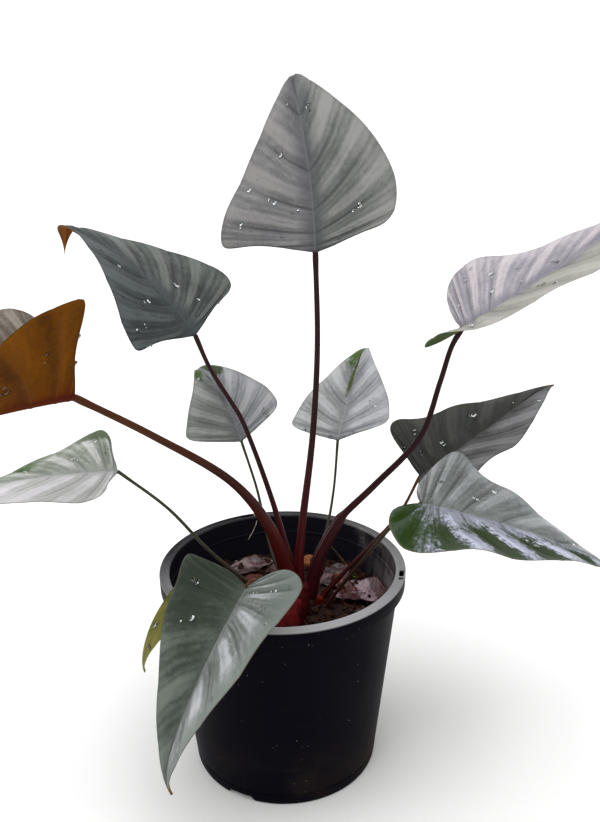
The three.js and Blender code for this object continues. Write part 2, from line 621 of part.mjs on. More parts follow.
for (const [key, leaf] of Object.entries(LEAVES)) {
  const blade = thicken(leafSheet(leaf), BLADE.thickness, BLADE.midrib);
  place(`blade_${key}`, blade, GREEN_BLADES.includes(key) ? GREEN : SILVER);
}
for (const [key, stations] of Object.entries(STALKS)) {
  const room = thicken(leafSheet(LEAVES[key]), BLADE.thickness + 3 * GAP, BLADE.midrib, GAP);
  let stalk = toSolid(tube(stations, 0, 2 * GAP)).subtract(toSolid(room));
  for (const cutter of cutters) stalk = stalk.subtract(cutter);
  place(`stalk_${key}`, toGeometry(largest(stalk)), OLIVE_STALKS.includes(key) ? OLIVE : MAROON);
  cutters.push(toSolid(tube(stations, GAP)));
}

let papery = toSolid(tube(PAPERY_SHEATH));
for (const cutter of cutters) papery = papery.subtract(cutter);
place('papery_sheath', toGeometry(largest(papery)), RED_SHEATH);
cutters.push(toSolid(tube(PAPERY_SHEATH, GAP)));

for (const [name, chip] of Object.entries(CHIPS)) {
  place(name, barkChip(chip), BARK);
  cutters.push(toSolid(barkChip(chip, GAP)));
}
place('soil', toGeometry(soilSolid(cutters)), MIX);

for (const [name, piece] of Object.entries(DRY_LEAVES)) place(name, dryLeaf(piece), DRY);
place('twig', tube(TWIG), BARK);

export default plant;
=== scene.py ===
import json
import math
import random
from collections import namedtuple
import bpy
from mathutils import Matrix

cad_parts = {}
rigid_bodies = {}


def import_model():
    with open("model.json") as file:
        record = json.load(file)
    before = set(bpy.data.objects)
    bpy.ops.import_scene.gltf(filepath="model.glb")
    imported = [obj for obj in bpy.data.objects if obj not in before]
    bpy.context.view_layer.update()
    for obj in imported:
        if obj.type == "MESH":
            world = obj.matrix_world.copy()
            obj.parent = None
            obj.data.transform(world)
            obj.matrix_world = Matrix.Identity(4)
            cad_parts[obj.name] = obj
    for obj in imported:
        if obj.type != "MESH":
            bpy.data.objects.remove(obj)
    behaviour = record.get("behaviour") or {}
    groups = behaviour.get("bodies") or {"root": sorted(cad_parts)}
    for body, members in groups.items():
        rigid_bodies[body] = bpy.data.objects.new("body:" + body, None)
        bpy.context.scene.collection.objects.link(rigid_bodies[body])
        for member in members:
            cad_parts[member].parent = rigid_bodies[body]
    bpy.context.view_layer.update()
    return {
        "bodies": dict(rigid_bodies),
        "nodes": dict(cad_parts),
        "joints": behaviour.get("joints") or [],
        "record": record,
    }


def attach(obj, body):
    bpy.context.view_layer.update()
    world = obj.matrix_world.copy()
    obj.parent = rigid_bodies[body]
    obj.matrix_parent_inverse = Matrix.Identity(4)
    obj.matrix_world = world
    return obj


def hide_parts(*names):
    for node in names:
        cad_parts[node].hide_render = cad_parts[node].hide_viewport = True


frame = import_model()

from types import SimpleNamespace as Form

import bmesh
import bpy
import numpy as np
from mathutils import Matrix, Vector, noise

bl_info = {
    "name": "Potted homalomena",
    "version": (1, 0, 0),
    "blender": (4, 5, 0),
    "location": "View3D > Sidebar > Plant",
    "description": "Builds a silvery homalomena in a black nursery pot",
    "category": "Add Mesh",
}

SLOTS = {row["node"]: row["material_slot"] for row in frame["record"]["subparts"]}

# Shapes are worked out in millimetres and turned to metres as they become a mesh
MM = 0.001
TINY = 1e-9
WELD = 0.004
TURN = 6.2832

# Camera that sees the plant as the picture does: place and aim, and the picture's size in pixels
CAMERA_PLACE = (15.56, -687.71, 557.45)
CAMERA_PITCH = 19.853
CAMERA_ROLL = -0.662
FOCAL_PIXELS = 950
PICTURE_HEIGHT = 822
SENSOR = 36

# Nursery pot: the hollow rim, its skirt, the tapering wall and the foot; a groove and wall rings by height;
# the rounded edges of rim and skirt; the hanger slots, the webs under them and the drain notches
POT = Form(
    height=176, rim=100, rim_inner=92, lip=1, skirt=1.8, skirt_drop=13, flange=2, neck=94.5, neck_height=163,
    low=77.2, base=75, corner=6, wall=2, floor=2.5, chamfer=2, bead_height=159, bead=0.9, bead_half=1,
    sharp_angle=38,
)
GROOVE = ((9.2, 0), (9.7, -0.55), (10.4, -0.55), (10.9, 0))
WALL_HEIGHTS = (30, 60, 90, 120, 145, 158)
RIM_LEDGE = Form(outer=(2.2, 2.6), inner=(2.2, 1.8), depth=0.25, fillet=0.8)
SKIRT_EDGE = Form(out=0.9, up=0.6, fillet=0.6, bevel=1)
SLOT = Form(heading=-9.5, count=3, radius=96.8, width=3.8, length=10, short=3.6, spacing=8.4, depth=5, cut=12)
WEB = Form(above=1.5, thick=1.2, centre=-1.5, span=16, overlap=0.6, steps=9)
NOTCH = Form(heading=-118, count=3, foot=26, top=19, height=5, inner=66, below=1)

# Potting mix with its clods and pits; then the crumbs, perlite, moss and root fibres on it, with how far out
# they lie as a share, their radii, their height over the soil and how rough they are
SOIL = Form(
    level=140, swell=1.5, grain=0.9, dip=2.5, dip_start=55, dip_width=35, gap=0.6, rings=84, sides=260,
    clod_size=5.5, clod=1.7, pit_size=4.2, pit=1.6,
)
CRUMB = Form(radii=(1.1, 1.5, 1.9, 2.6, 3.4, 4.3), reach=0.96, lift=0.35)
SPECK = Form(radius=(0.6, 1.3), reach=0.93, lift=1.1, rough=0.4)
TUFT = Form(radius=(0.5, 1.3), count=9, spread=2.2, lift=1.6, rough=0.5)
FIBRE = Form(
    radius=(0.16, 0.34), reach=0.85, lift=(0.6, 2.4), length=(8, 22), bend=(-5, 5), waver=(-1, 1),
    stations=(0, 0.33, 0.66, 1),
)
LUMP_DENTS = 1.7
LUMP_SQUEEZE = ((0.6, 1.3), (0.5, 1), (0.4, 0.9))
ANY_HEADING = (0, 6.3)

# Leaf outline: the reach of the average that rounds its corners, shares of the way round one half's edge, and
# the handles of its curves as shares of the lobe, the half width or the length; then the bend of the side
# veins and of the midrib
EDGE_STEPS = 1200
SOFT_REACH = 3
CLEFT = 0.1
CLEFT_HANDLE = Form(lobe=0.35, back=0.04, out=0.25)
LOBE_HANDLE = 0.62
TIP_HANDLES = (0.28, 0.66, 0.34)
LOBE_END = 0.3
SHOULDER_END = 0.5
VEIN_START = 4
VEIN_BOW = (0.36, 0.6)
BOW_GROWS = (0.05, 0.5)
ROW_GAP = 0.03
TIP_POWER = 4
MIDRIB_STEPS = 144
LOBE_REACH = 0.4
LOBE_STEPS = 40
WAVES = 2.6
WAVE_LAG = 0.4

# Fine rows stand close together at each side vein, and fine columns at the midrib and the edge
ROW_PHASES = (0, 0.03, 0.08, 0.16, 0.28, 0.42, 0.58, 0.72, 0.84, 0.92, 0.97)
CLEFT_ROWS = (0, 0.001, 0.003, 0.007)
TIP_ROWS = (0.985, 0.994, 1)
COLUMNS = (
    0, 0.008, 0.018, 0.032, 0.055, 0.085, 0.12, 0.17, 0.23, 0.3, 0.38, 0.46, 0.54,
    0.62, 0.7, 0.77, 0.83, 0.88, 0.92, 0.95, 0.97, 0.984, 0.994, 1,
)

# Relief of a blade: where pleats and grooves fade, by share of the way out, and how deep they are
RELIEF = Form(
    pleat_in=(0, 0.16), pleat_out=(0.72, 1), pleat_left=0.25, pleat_power=0.8, pleat_widest=22,
    groove_width=(0.9, 0.35), groove_out=(0.75, 0.97), groove_space=(0.2, 1.6), groove_below=1.44,
    rib_groove=1.4, rib_taper=0.7, rib_fall=0.85, rim=0.9, thin=0.3, thin_from=0.5,
)

# Bend is the place and reach, as shares of the length, of a tip that folds sharply in place of a slow curl
Leaf = namedtuple("Leaf", (
    "base length half lobe shoulder widest taper heading rise roll "
    "droop tip_curl sway twist fold opening cup lobe_lift wave phase veins bend"
), defaults=(None,))
LEAVES = {
    "a": Leaf(
        base=(28, -5, 432), length=180, half=(79, 71), lobe=(-14, -7), shoulder=0.8, widest=16, taper=0.18,
        heading=91, rise=66, roll=32, droop=10, tip_curl=74, sway=-26, twist=10,
        fold=(5, 11), opening=(-9, -24), cup=(1, 0), lobe_lift=-1, wave=2, phase=0.2, veins=9),
    "b": Leaf(
        base=(-62, 0, 370), length=160, half=(71, 69), lobe=(-14, -10), shoulder=0.76, widest=17, taper=0.05,
        heading=168, rise=56, roll=43, droop=37, tip_curl=80, sway=-22, twist=8,
        fold=(27, -24), opening=(29, -18), cup=(3, 11), lobe_lift=0, wave=1.5, phase=0.8, veins=9,
        bend=(0.795, 0.028)),
    "c": Leaf(
        base=(-134, -90, 353), length=191, half=(86, 71), lobe=(-15, 5), shoulder=0.66, widest=18, taper=0.14,
        heading=226, rise=6, roll=7, droop=6, tip_curl=9, sway=-17, twist=-7,
        fold=(66, 38), opening=(-9, -7), cup=(11, 5), lobe_lift=5, wave=2, phase=0, veins=9),
    "d": Leaf(
        base=(-124, -20, 269), length=170, half=(71, 71), lobe=(-7, -5), shoulder=0.57, widest=17, taper=0.17,
        heading=190, rise=3, roll=7, droop=27, tip_curl=-6, sway=14, twist=10,
        fold=(15, 0), opening=(-19, -23), cup=(2, 3), lobe_lift=0, wave=2, phase=0, veins=8),
    "e": Leaf(
        base=(137, 0, 373), length=211, half=(84, 80), lobe=(6, 21), shoulder=0.56, widest=8, taper=0.19,
        heading=-12, rise=35, roll=-12, droop=9, tip_curl=-19, sway=-30, twist=9,
        fold=(8, 23), opening=(-29, -33), cup=(2, 4), lobe_lift=-1, wave=4, phase=0.4, veins=10),
    "f": Leaf(
        base=(118, 62, 226), length=168, half=(69, 72), lobe=(-2, 10), shoulder=0.6, widest=8, taper=0.24,
        heading=13, rise=32, roll=-7, droop=22, tip_curl=16, sway=-30, twist=8,
        fold=(8, 19), opening=(-10, -17), cup=(3, 6), lobe_lift=0, wave=5, phase=0.6, veins=9),
    "g": Leaf(
        base=(100, -80, 268), length=163, half=(72, 62), lobe=(8, 16), shoulder=0.26, widest=8, taper=0.23,
        heading=-21, rise=-4, roll=-10, droop=41, tip_curl=8, sway=-34, twist=-6,
        fold=(-3, 6), opening=(-4, 7), cup=(3, 5), lobe_lift=16, wave=5, phase=0.6, veins=9),
    "h": Leaf(
        base=(-34, 55, 263), length=134, half=(46, 46), lobe=(0, 0), shoulder=0.52, widest=3, taper=0.23,
        heading=105, rise=20, roll=18, droop=-8, tip_curl=67, sway=-20, twist=4,
        fold=(22, 27), opening=(0, 8), cup=(4, 6), lobe_lift=0, wave=1.2, phase=0.8, veins=8),
    "i": Leaf(
        base=(47, 55, 263), length=135, half=(42, 50), lobe=(0, -2), shoulder=0.52, widest=4, taper=0.19,
        heading=75, rise=29, roll=8, droop=0, tip_curl=57, sway=1, twist=4,
        fold=(19, 22), opening=(-9, -1), cup=(7, -4), lobe_lift=0, wave=1.5, phase=0, veins=8),
    "j": Leaf(
        base=(-24, -88, 207), length=169, half=(71, 68), lobe=(19, 7), shoulder=0.58, widest=-7, taper=0.23,
        heading=-130, rise=-40, roll=-12, droop=33, tip_curl=30, sway=20, twist=2,
        fold=(13, 8), opening=(3, 17), cup=(3, 2), lobe_lift=-9, wave=2, phase=0.4, veins=9),
    "k": Leaf(
        base=(-45, -40, 184), length=106, half=(23, 20), lobe=(4, 4), shoulder=0.6, widest=7, taper=0.14,
        heading=-134, rise=14, roll=2, droop=96, tip_curl=22, sway=14, twist=-4,
        fold=(6, 8), opening=(0, 0), cup=(4, 4), lobe_lift=0, wave=0.8, phase=0.3, veins=7),
}

# Stem, shoot and stalks: stations x, y, z and radius along each one's middle line
STEM = ((7, -27, 98, 9.5), (8, -27, 132, 10), (9, -26, 142, 9.8), (13, -23, 155, 8.5), (16, -20, 168, 6.5))
SIDE_SHOOT = ((28, -3, 104, 5), (29, -3, 135, 5), (30, -3, 146, 3.8))
PAPERY_SHEATH = ((4, -29, 134, 10.5), (5, -29, 146, 10), (9, -27, 160, 7))
STALKS = {
    "a": ((28, -5, 432, 1.9), (29, -9, 364, 2.1), (25, -13, 294, 2.4), (15.5, -16, 213, 3.2),
          (13, -19, 178, 4.4), (15, -20, 158, 5)),
    "b": ((-62, 0, 370, 1.7), (-52, -4, 346, 1.7), (-38, -9, 323, 1.8), (-30, -10, 309, 1.85),
          (-21, -11, 285, 1.9), (-6, -12, 236, 2.2), (7, -16, 185, 2.9), (12, -18, 162, 3.4)),
    "c": ((-134, -90, 353, 2.4), (-86, -81, 322, 2.7), (-34, -60, 277, 3.3), (-9, -41, 232, 4.6),
          (3, -28, 188, 6.2), (9, -25, 158, 7.2)),
    "e": ((137, 0, 373, 2), (130, -1.5, 360, 2), (122, -4, 333, 2.1), (108, -7, 290, 2.3),
          (73, -11, 251, 2.6), (50, -13, 228, 2.9), (46, -14, 223, 4.1), (29, -16, 189, 5),
          (22, -18, 158, 5.8)),
    "i": ((47, 55, 263, 1.05), (43, 42, 222, 1.05), (36, 22, 195, 1.2), (24, 0, 175, 1.5),
          (17, -13, 157, 1.8)),
    "h": ((-34, 55, 263, 1.05), (-21, 40, 224, 1.1), (-14, 24, 196, 1.2), (-6, 4, 176, 1.6),
          (6, -14, 158, 2), (10, -19, 152, 2.2)),
    "d": ((-124, -20, 269, 1.25), (-86, -30, 242, 1.25), (-54.5, -36, 207.5, 1.4), (-22, -32, 174, 1.7),
          (3, -27, 152, 2)),
    "j": ((-24, -88, 207, 1.8), (-19, -80, 207, 1.8), (-10, -62, 194, 1.9), (-2, -42, 172, 2.1),
          (6, -29, 151, 2.4)),
    "k": ((-45, -40, 184, 1.1), (-33, -37, 176, 1.2), (-16, -32, 160, 1.4), (3, -28, 145, 1.6)),
    "f": ((118, 62, 226, 1.2), (98, 34, 204, 1.3), (70, 8, 186, 1.4), (43, 2, 158, 2.1), (30, 0, 141, 2.8),
          (26, -1, 116, 2.8)),
    "g": ((100, -80, 268, 1.2), (85, -58, 242, 1.3), (69, -34, 206, 1.4), (48, -15, 165, 1.5),
          (36, -8, 142, 1.6), (30, -5, 118, 1.6)),
}

# Fallen matter on the soil
DRY_LEAVES = {
    "dry_leaf_right": dict(at=(65, 10), heading=-25, length=46, half=20, edge_curl=11, tip_curl=6),
    "dry_leaf_middle": dict(at=(44, 38), heading=62, length=34, half=11, edge_curl=5, tip_curl=6),
    "dry_leaf_left": dict(at=(-30, 56), heading=24, length=46, half=11, edge_curl=7, tip_curl=2),
}
SCRAPS = {
    "red_scrap": dict(at=(50, 22), heading=125, length=25, half=9, edge_curl=7, tip_curl=7),
    "brown_scrap": dict(at=(60, -14), heading=-70, length=20, half=7, edge_curl=4, tip_curl=5),
    "small_scrap": dict(at=(-8, 52), heading=10, length=19, half=6, edge_curl=5, tip_curl=3),
}
# Each dried leaf's and scrap's own colour, then the light colour of the painted highlights on its folds
DRY_TINTS = dict(
    dry_leaf_right=(0x4b2a30, 0xc0aab6), dry_leaf_middle=(0x3c2226, 0x8a6c72),
    dry_leaf_left=(0x513c3f, 0x9a8382), red_scrap=(0x4c1d14, 0x8c4a38),
    brown_scrap=(0x2c1614, 0x5c3a34), small_scrap=(0x3f2320, 0x6f4c46),
)
DRY_LEAF = Form(
    thickness=0.8, lift=1.4, bluntness=2.6, ripple=0.12, stem_curl=0.2, rows=56, columns=26, end=0.985,
    ragged=0.14, fold=0.55, crease=0.5,
)
MOSS = ((45, 46), (53, 54), (62, 40), (30, 66), (-36, 30))
CHIPS = {
    "bark_left": dict(at=(-27, 34), heading=20, size=(17, 11, 7)),
    "bark_back": dict(at=(21, 68), heading=70, size=(15, 8, 8)),
}
CHIP = Form(sink=2, rounding=0.45, crown=0.12, taller=0.25, wider=0.2, cuts=17, layer=0.05, dent=0.09)
CHIP_TINTS = dict(bark_left=(0x3c211b, 0x6b3c30), bark_back=(0x7d4a2c, 0xa2653b))
TWIG = ((59, 50, 140.2, 1.1), (51, 63, 146, 1.2), (41.6, 79.4, 151, 0.9))
ROOT_HAIR = ((-28, 93.5, 177.5, 0.25), (-25, 88.8, 172, 0.3), (-28, 87, 163, 0.3), (-33, 84, 155, 0.25))

# Each end of a tube closes over two smaller rings: how far out they lie in radii, and their size
TUBE_END = ((0.3, 0.85), (0.5, 0.5))

# Stems: the laps of the leaf bases as height, angle and width, with rings and dents between them; the tears
# and crimps of the papery sheath; the lumps and rings of the twig
LAPS = ((0.06, 0.7, 0.14), (0.05, -1.9, 0.12))
STEM_SKIN = Form(ring=0.02, ring_rate=0.9, dent=0.04, dents_round=2, dent_rate=0.12)
TEARS = Form(tear=0.1, tears_round=2.5, tear_rate=0.2, seed=4, crimp=0.05, crimps=7, crimp_rate=0.4, foot=0.4)
KNOTS = Form(lump=0.16, lump_rate=0.5, ring=0.1, ring_rate=0.9)

# Section of a stalk: its channel, the lips of the sheath and the knuckle under the blade
CHANNEL = Form(depth=0.1, width=0.5)
LIPS = Form(height=0.17, angle=0.62, width=0.17, hollow=0.12, hollow_width=0.4, above=5, below=4)
KNUCKLE = Form(height=0.16, place=4, reach=7)

# Water drops: where they lie by share of the way round and out, and how far the next one in a cluster lies;
# their radii, height and length in radii, the arc of their round side, and the blade that the count is for
DROP = Form(
    around=(0.3, 0.92), out=(0.15, 0.82), first_out=(0.15, 0.8), next_around=(-0.02, 0.02),
    next_out=(-0.05, 0.05), radii=(0.5, 0.7, 0.9, 1.2, 1.6, 2.2), height=(0.42, 0.6), length=(1, 1.35),
    arc=(92, 14), rings=5, sides=12, blade=170,
)

# Length of a blade whose midrib has the full size
RIB_BLADE = 180

# Floor, and lamps with the way they lie in, their spread in degrees and their share of the key light
FLOOR_REACH = 9000
FLOOR_DROP = 0.2
WALL_LIGHT = 1.05
LAMPS = (("key", (-0.1, -0.18, 1), 60, 1), ("side", (-1, -0.9, 1.1), 25, 0.13))


def colour(code):
    """Linear red, green, blue from a web colour such as 0x8f9a94; three linear parts stay as they are."""
    if not isinstance(code, int):
        return tuple(code)
    parts = [(code >> shift & 255) / 255 for shift in (16, 8, 0)]
    return tuple(c / 12.92 if c <= 0.04045 else ((c + 0.055) / 1.055) ** 2.4 for c in parts)


def lerp(a, b, share):
    return a + (b - a) * share


def smoothstep(low, high, x):
    share = np.clip((x - low) / (high - low), 0, 1)
    return share * share * (3 - 2 * share)


def bulge(share):
    """Height of a quarter circle at a share of the way in from its edge."""
    return np.sqrt(np.clip(1 - (1 - np.clip(share, 0, 1)) ** 2, 0, 1))


def wall_radius(height):
    """Radius of the pot's outer wall at a height."""
    return lerp(POT.low, POT.neck, (height - POT.corner) / (POT.neck_height - POT.corner))


def soil_height(x, y):
    """Height of the soil's uneven surface."""
    swell = SOIL.swell * np.sin(x / 17 + 0.6) * np.cos(y / 21 - 0.4)
    grain = SOIL.grain * np.sin(x / 7.5 + y / 11 + 1.3) * np.cos(y / 6.5 - x / 13)
    fall = SOIL.dip * np.clip((np.hypot(x, y) - SOIL.dip_start) / SOIL.dip_width, 0, 1) ** 2
    return SOIL.level + swell + grain - fall


# Shaders


class Value:
    """A shader socket. Arithmetic on it adds Math nodes to its material."""

    def __init__(self, finish, socket):
        self.finish = finish
        self.socket = socket

    def _math(self, operation, *values):
        return self.finish.add("ShaderNodeMath", {"operation": operation}, dict(enumerate(values)))

    def __add__(self, other):
        return self._math("ADD", self, other)

    def __radd__(self, other):
        return self._math("ADD", other, self)

    def __sub__(self, other):
        return self._math("SUBTRACT", self, other)

    def __rsub__(self, other):
        return self._math("SUBTRACT", other, self)

    def __mul__(self, other):
        return self._math("MULTIPLY", self, other)

    def __rmul__(self, other):
        return self._math("MULTIPLY", other, self)

    def __truediv__(self, other):
        return self._math("DIVIDE", self, other)

    def __pow__(self, other):
        return self._math("POWER", self, other)

    def wave(self, shift=0.0):
        """Sine of the value in whole turns."""
        return self._math("SINE", (self + shift) * TURN)

    def about(self, reach):
        """How far the value lies from its middle, spread to a reach."""
        return (self - 0.5) * reach

    def size(self):
        """The value without its sign."""
        return self._math("ABSOLUTE", self)

    def above(self, low, high):
        """0 below low, 1 above high and smooth between; low may be the larger one."""
        settings = {"interpolation_type": "SMOOTHSTEP"}
        sockets = {"Value": self, "From Min": min(low, high), "From Max": max(low, high)}
        if low > high:
            sockets |= {"To Min": 1, "To Max": 0}
        return self.finish.add("ShaderNodeMapRange", settings, sockets)


class Finish:
    """A material in the making."""

    def __init__(self, name):
        self.material = bpy.data.materials.new(name)
        self.material.use_nodes = True
        self.tree = self.material.node_tree
        self.tree.nodes.clear()
        self.place = self.add("ShaderNodeTexCoord", {}, {}, "Object")

    def add(self, kind, settings, sockets, output=0):
        """A node of a kind, with its settings made first and then its sockets' values or links."""
        node = self.tree.nodes.new(kind)
        for key, value in settings.items():
            if key == "stops":
                ramp = node.color_ramp
                while len(ramp.elements) < len(value):
                    ramp.elements.new(1)
                for stop, (position, shade) in zip(ramp.elements, value):
                    stop.position = position
                    stop.color = (*colour(shade), 1)
            else:
                setattr(node, key, value)
        for key, value in sockets.items():
            socket = node.inputs[key]
            if isinstance(value, Value):
                self.tree.links.new(value.socket, socket)
            elif socket.type == "RGBA":
                socket.default_value = (*colour(value), 1)
            else:
                socket.default_value = value
        return Value(self, node.outputs[output]) if node.outputs else None

    def attribute(self, name):
        return self.add("ShaderNodeAttribute", {"attribute_name": name}, {}, "Fac")

    def noise(self, scale, detail=4, roughness=0.55, vector=None, warp=0):
        """Noise from 0 to 1; scale is in features to the metre."""
        sockets = {
            "Vector": vector or self.place, "Scale": scale, "Detail": detail, "Roughness": roughness,
            "Distortion": warp,
        }
        return self.add("ShaderNodeTexNoise", {}, sockets, "Fac")

    def cells(self, scale, feature="F1", output="Distance", vector=None):
        sockets = {"Vector": vector or self.place, "Scale": scale}
        return self.add("ShaderNodeTexVoronoi", {"feature": feature}, sockets, output)

    def stretched(self, x, y, z):
        """The place in space, stretched along the axes."""
        return self.add("ShaderNodeVectorMath", {"operation": "MULTIPLY"}, {0: self.place, 1: (x, y, z)})

    def vector(self, x, y, z):
        return self.add("ShaderNodeCombineXYZ", {}, {0: x, 1: y, 2: z})

    def axis(self, name):
        return self.add("ShaderNodeSeparateXYZ", {}, {0: self.place}, name)

    def mix(self, factor, first, second):
        """Blends two colours."""
        settings = {"data_type": "RGBA"}
        return self.add("ShaderNodeMix", settings, {0: factor, 6: first, 7: second}, 2)

    def ramp(self, factor, *stops):
        return self.add("ShaderNodeValToRGB", {"stops": stops}, {0: factor})

    def bump(self, height, distance, strength=1.0):
        """A normal from a height; distance is the relief in metres."""
        sockets = {"Height": height, "Distance": distance, "Strength": strength}
        return self.add("ShaderNodeBump", {}, sockets)

    def surface(self, sockets):
        """Ends the material with one surface shader."""
        shader = self.add("ShaderNodeBsdfPrincipled", {}, sockets)
        self.add("ShaderNodeOutputMaterial", {}, {"Surface": shader})
        return self.material


# Meshes


def grid_faces(rows, columns, start=0, flip=False):
    """Four-cornered faces of a grid of points that is stored row by row."""
    row, column = np.meshgrid(np.arange(rows - 1), np.arange(columns - 1), indexing="ij")
    corner = (start + row * columns + column).ravel()
    ring = (corner, corner + 1, corner + columns + 1, corner + columns)
    if flip:
        ring = ring[::-1]
    return np.stack(ring, axis=1)


def ring_faces(rings, sides, start=0):
    """Faces of a tube of closed rings, facing out where each ring turns left round the way ahead."""
    faces = []
    for ring in range(rings - 1):
        first = start + ring * sides
        for i in range(sides):
            after = (i + 1) % sides
            faces.append((first + i, first + after, first + sides + after, first + sides + i))
    return faces


def add_piece(name, points, faces, materials, finish_of=None, values=None, weld=0):
    """An object from points in millimetres, with values for its points kept as attributes."""
    mesh = bpy.data.meshes.new(name)
    mesh.from_pydata((np.asarray(points, float) * MM).tolist(), [], [tuple(map(int, face)) for face in faces])
    for key, numbers in (values or {}).items():
        numbers = np.asarray(numbers, np.float32).ravel()
        mesh.attributes.new(key, "FLOAT", "POINT").data.foreach_set("value", numbers)
    for material in materials:
        mesh.materials.append(material)
    if finish_of is not None:
        mesh.polygons.foreach_set("material_index", np.asarray(finish_of, np.int32))
    mesh.polygons.foreach_set("use_smooth", np.ones(len(mesh.polygons), bool))
    if weld:
        joined = bmesh.new()
        joined.from_mesh(mesh)
        bmesh.ops.remove_doubles(joined, verts=joined.verts, dist=weld * MM)
        bmesh.ops.dissolve_degenerate(joined, edges=joined.edges, dist=weld * MM)
        joined.to_mesh(mesh)
        joined.free()
    mesh.update()
    thing = bpy.data.objects.new(name, mesh)
    bpy.context.scene.collection.objects.link(thing)
    return thing


def settle(thing, *nodes, slot=None):
    """The piece rides on the plant and stands for its nodes."""
    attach(thing, "root")
    if nodes:
        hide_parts(*nodes)
        slot = slot or SLOTS[nodes[0]]
    return thing


def smooth_line(stations):
    """A function from 0..1 to the place on the centripetal curve through the stations."""
    points = [np.array(station[:3], float) for station in stations]
    spans = len(points) - 1
    ends = [2 * points[0] - points[1], *points, 2 * points[-1] - points[-2]]

    def place(share):
        span = min(int(share * spans + TINY), spans - 1)
        t = share * spans - span
        p0, p1, p2, p3 = ends[span:span + 4]
        d0, d1, d2 = (math.sqrt(np.linalg.norm(b - a)) for a, b in ((p0, p1), (p1, p2), (p2, p3)))
        out = ((p1 - p0) / d0 - (p2 - p0) / (d0 + d1) + (p2 - p1) / d1) * d1
        back = ((p2 - p1) / d1 - (p3 - p1) / (d1 + d2) + (p3 - p2) / d2) * d1
        bend = 3 * (p2 - p1) - 2 * out - back
        return p1 + out * t + bend * t * t + (2 * (p1 - p2) + out + back) * t ** 3

    return place


def tube(stations, step, sides, shape=None, inner=None):
    """Points, faces and values of a smooth tapering tube. shape(angle, share, mm) scales its radius; angle is
    0 on its inner side."""
    line = smooth_line(stations)
    spans = len(stations) - 1
    reach = sum(math.dist(a[:3], b[:3]) for a, b in zip(stations, stations[1:]))
    count = max(6, round(reach / step))
    shares = [i / count for i in range(count + 1)]
    places = [line(share) for share in shares]
    radii = np.interp([share * spans for share in shares], range(spans + 1), [s[3] for s in stations])
    for _ in range(3):
        radii[1:-1] = (radii[:-2] + 2 * radii[1:-1] + radii[2:]) / 4
    far = np.array(stations[-1][:3], float) - np.array(stations[0][:3], float)
    inner = np.array(inner if inner is not None else (far[1], -far[0], 0.3), float)
    runs = np.concatenate(([0], np.cumsum([math.dist(a, b) for a, b in zip(places, places[1:])])))
    rings = [(0, -slide, shrink) for slide, shrink in TUBE_END[::-1]]
    rings += [(i, 0, 1) for i in range(count + 1)]
    rings += [(count, slide, shrink) for slide, shrink in TUBE_END]
    points, angles, lengths = [], [], []
    for i, slide, shrink in rings:
        ahead = places[min(i + 1, count)] - places[max(i - 1, 0)]
        ahead /= np.linalg.norm(ahead)
        across = inner - ahead * inner.dot(ahead)
        across /= np.linalg.norm(across)
        other = np.cross(ahead, across)
        centre = places[i] + ahead * slide * radii[i]
        for k in range(sides):
            angle = 2 * math.pi * k / sides
            turn = (angle + math.pi) % (2 * math.pi) - math.pi
            radius = radii[i] * shrink * (shape(turn, shares[i], runs[i]) if shape else 1)
            points.append(centre + radius * (across * math.cos(angle) + other * math.sin(angle)))
            angles.append(angle)
            lengths.append(runs[i])
    faces = ring_faces(len(rings), sides)
    faces.append(tuple(range(sides))[::-1])
    faces.append(tuple(range((len(rings) - 1) * sides, len(rings) * sides)))
    values = {"around": angles, "run": lengths, "share": np.array(lengths) / runs[-1]}
    return points, faces, values


def merged(parts):
    """One list of points and one of faces from several."""
    points, faces = [], []
    for some_points, some_faces in parts:
        start = len(points)
        points.extend(some_points)
        faces.extend(tuple(start + i for i in face) for face in some_faces)
    return points, faces


def ball(divisions):
    """Points and faces of a round ball of radius 1."""
    mesh = bmesh.new()
    bmesh.ops.create_icosphere(mesh, subdivisions=divisions, radius=1)
    points = np.array([vertex.co[:] for vertex in mesh.verts])
    faces = [tuple(vertex.index for vertex in face.verts) for face in mesh.faces]
    mesh.free()
    return points, faces


def lump(template, centre, size, rng, rough=0.3):
    """An irregular crumb: a ball with dents, squeezed and turned."""
    points, faces = template
    seed = Vector([rng.uniform(-50, 50) for _ in range(3)])
    dents = np.array([1 + rough * 2 * noise.noise(Vector(p) * LUMP_DENTS + seed) for p in points])
    squeeze = np.array([rng.uniform(*reach) for reach in LUMP_SQUEEZE])
    angle, axis = rng.uniform(*ANY_HEADING), Vector([rng.uniform(-1, 1) for _ in range(3)])
    turn = np.array(Matrix.Rotation(angle, 3, axis))
    return np.asarray(centre) + (points * dents[:, None] * squeeze * size) @ turn.T, faces


# Leaves


def cubic(corners, t):
    """Point of a cubic Bezier curve at each t."""
    a, b, c, d = (np.array(corner, float) for corner in corners)
    t = np.asarray(t, float)[:, None]
    return a * (1 - t) ** 3 + 3 * b * t * (1 - t) ** 2 + 3 * c * t * t * (1 - t) + d * t ** 3


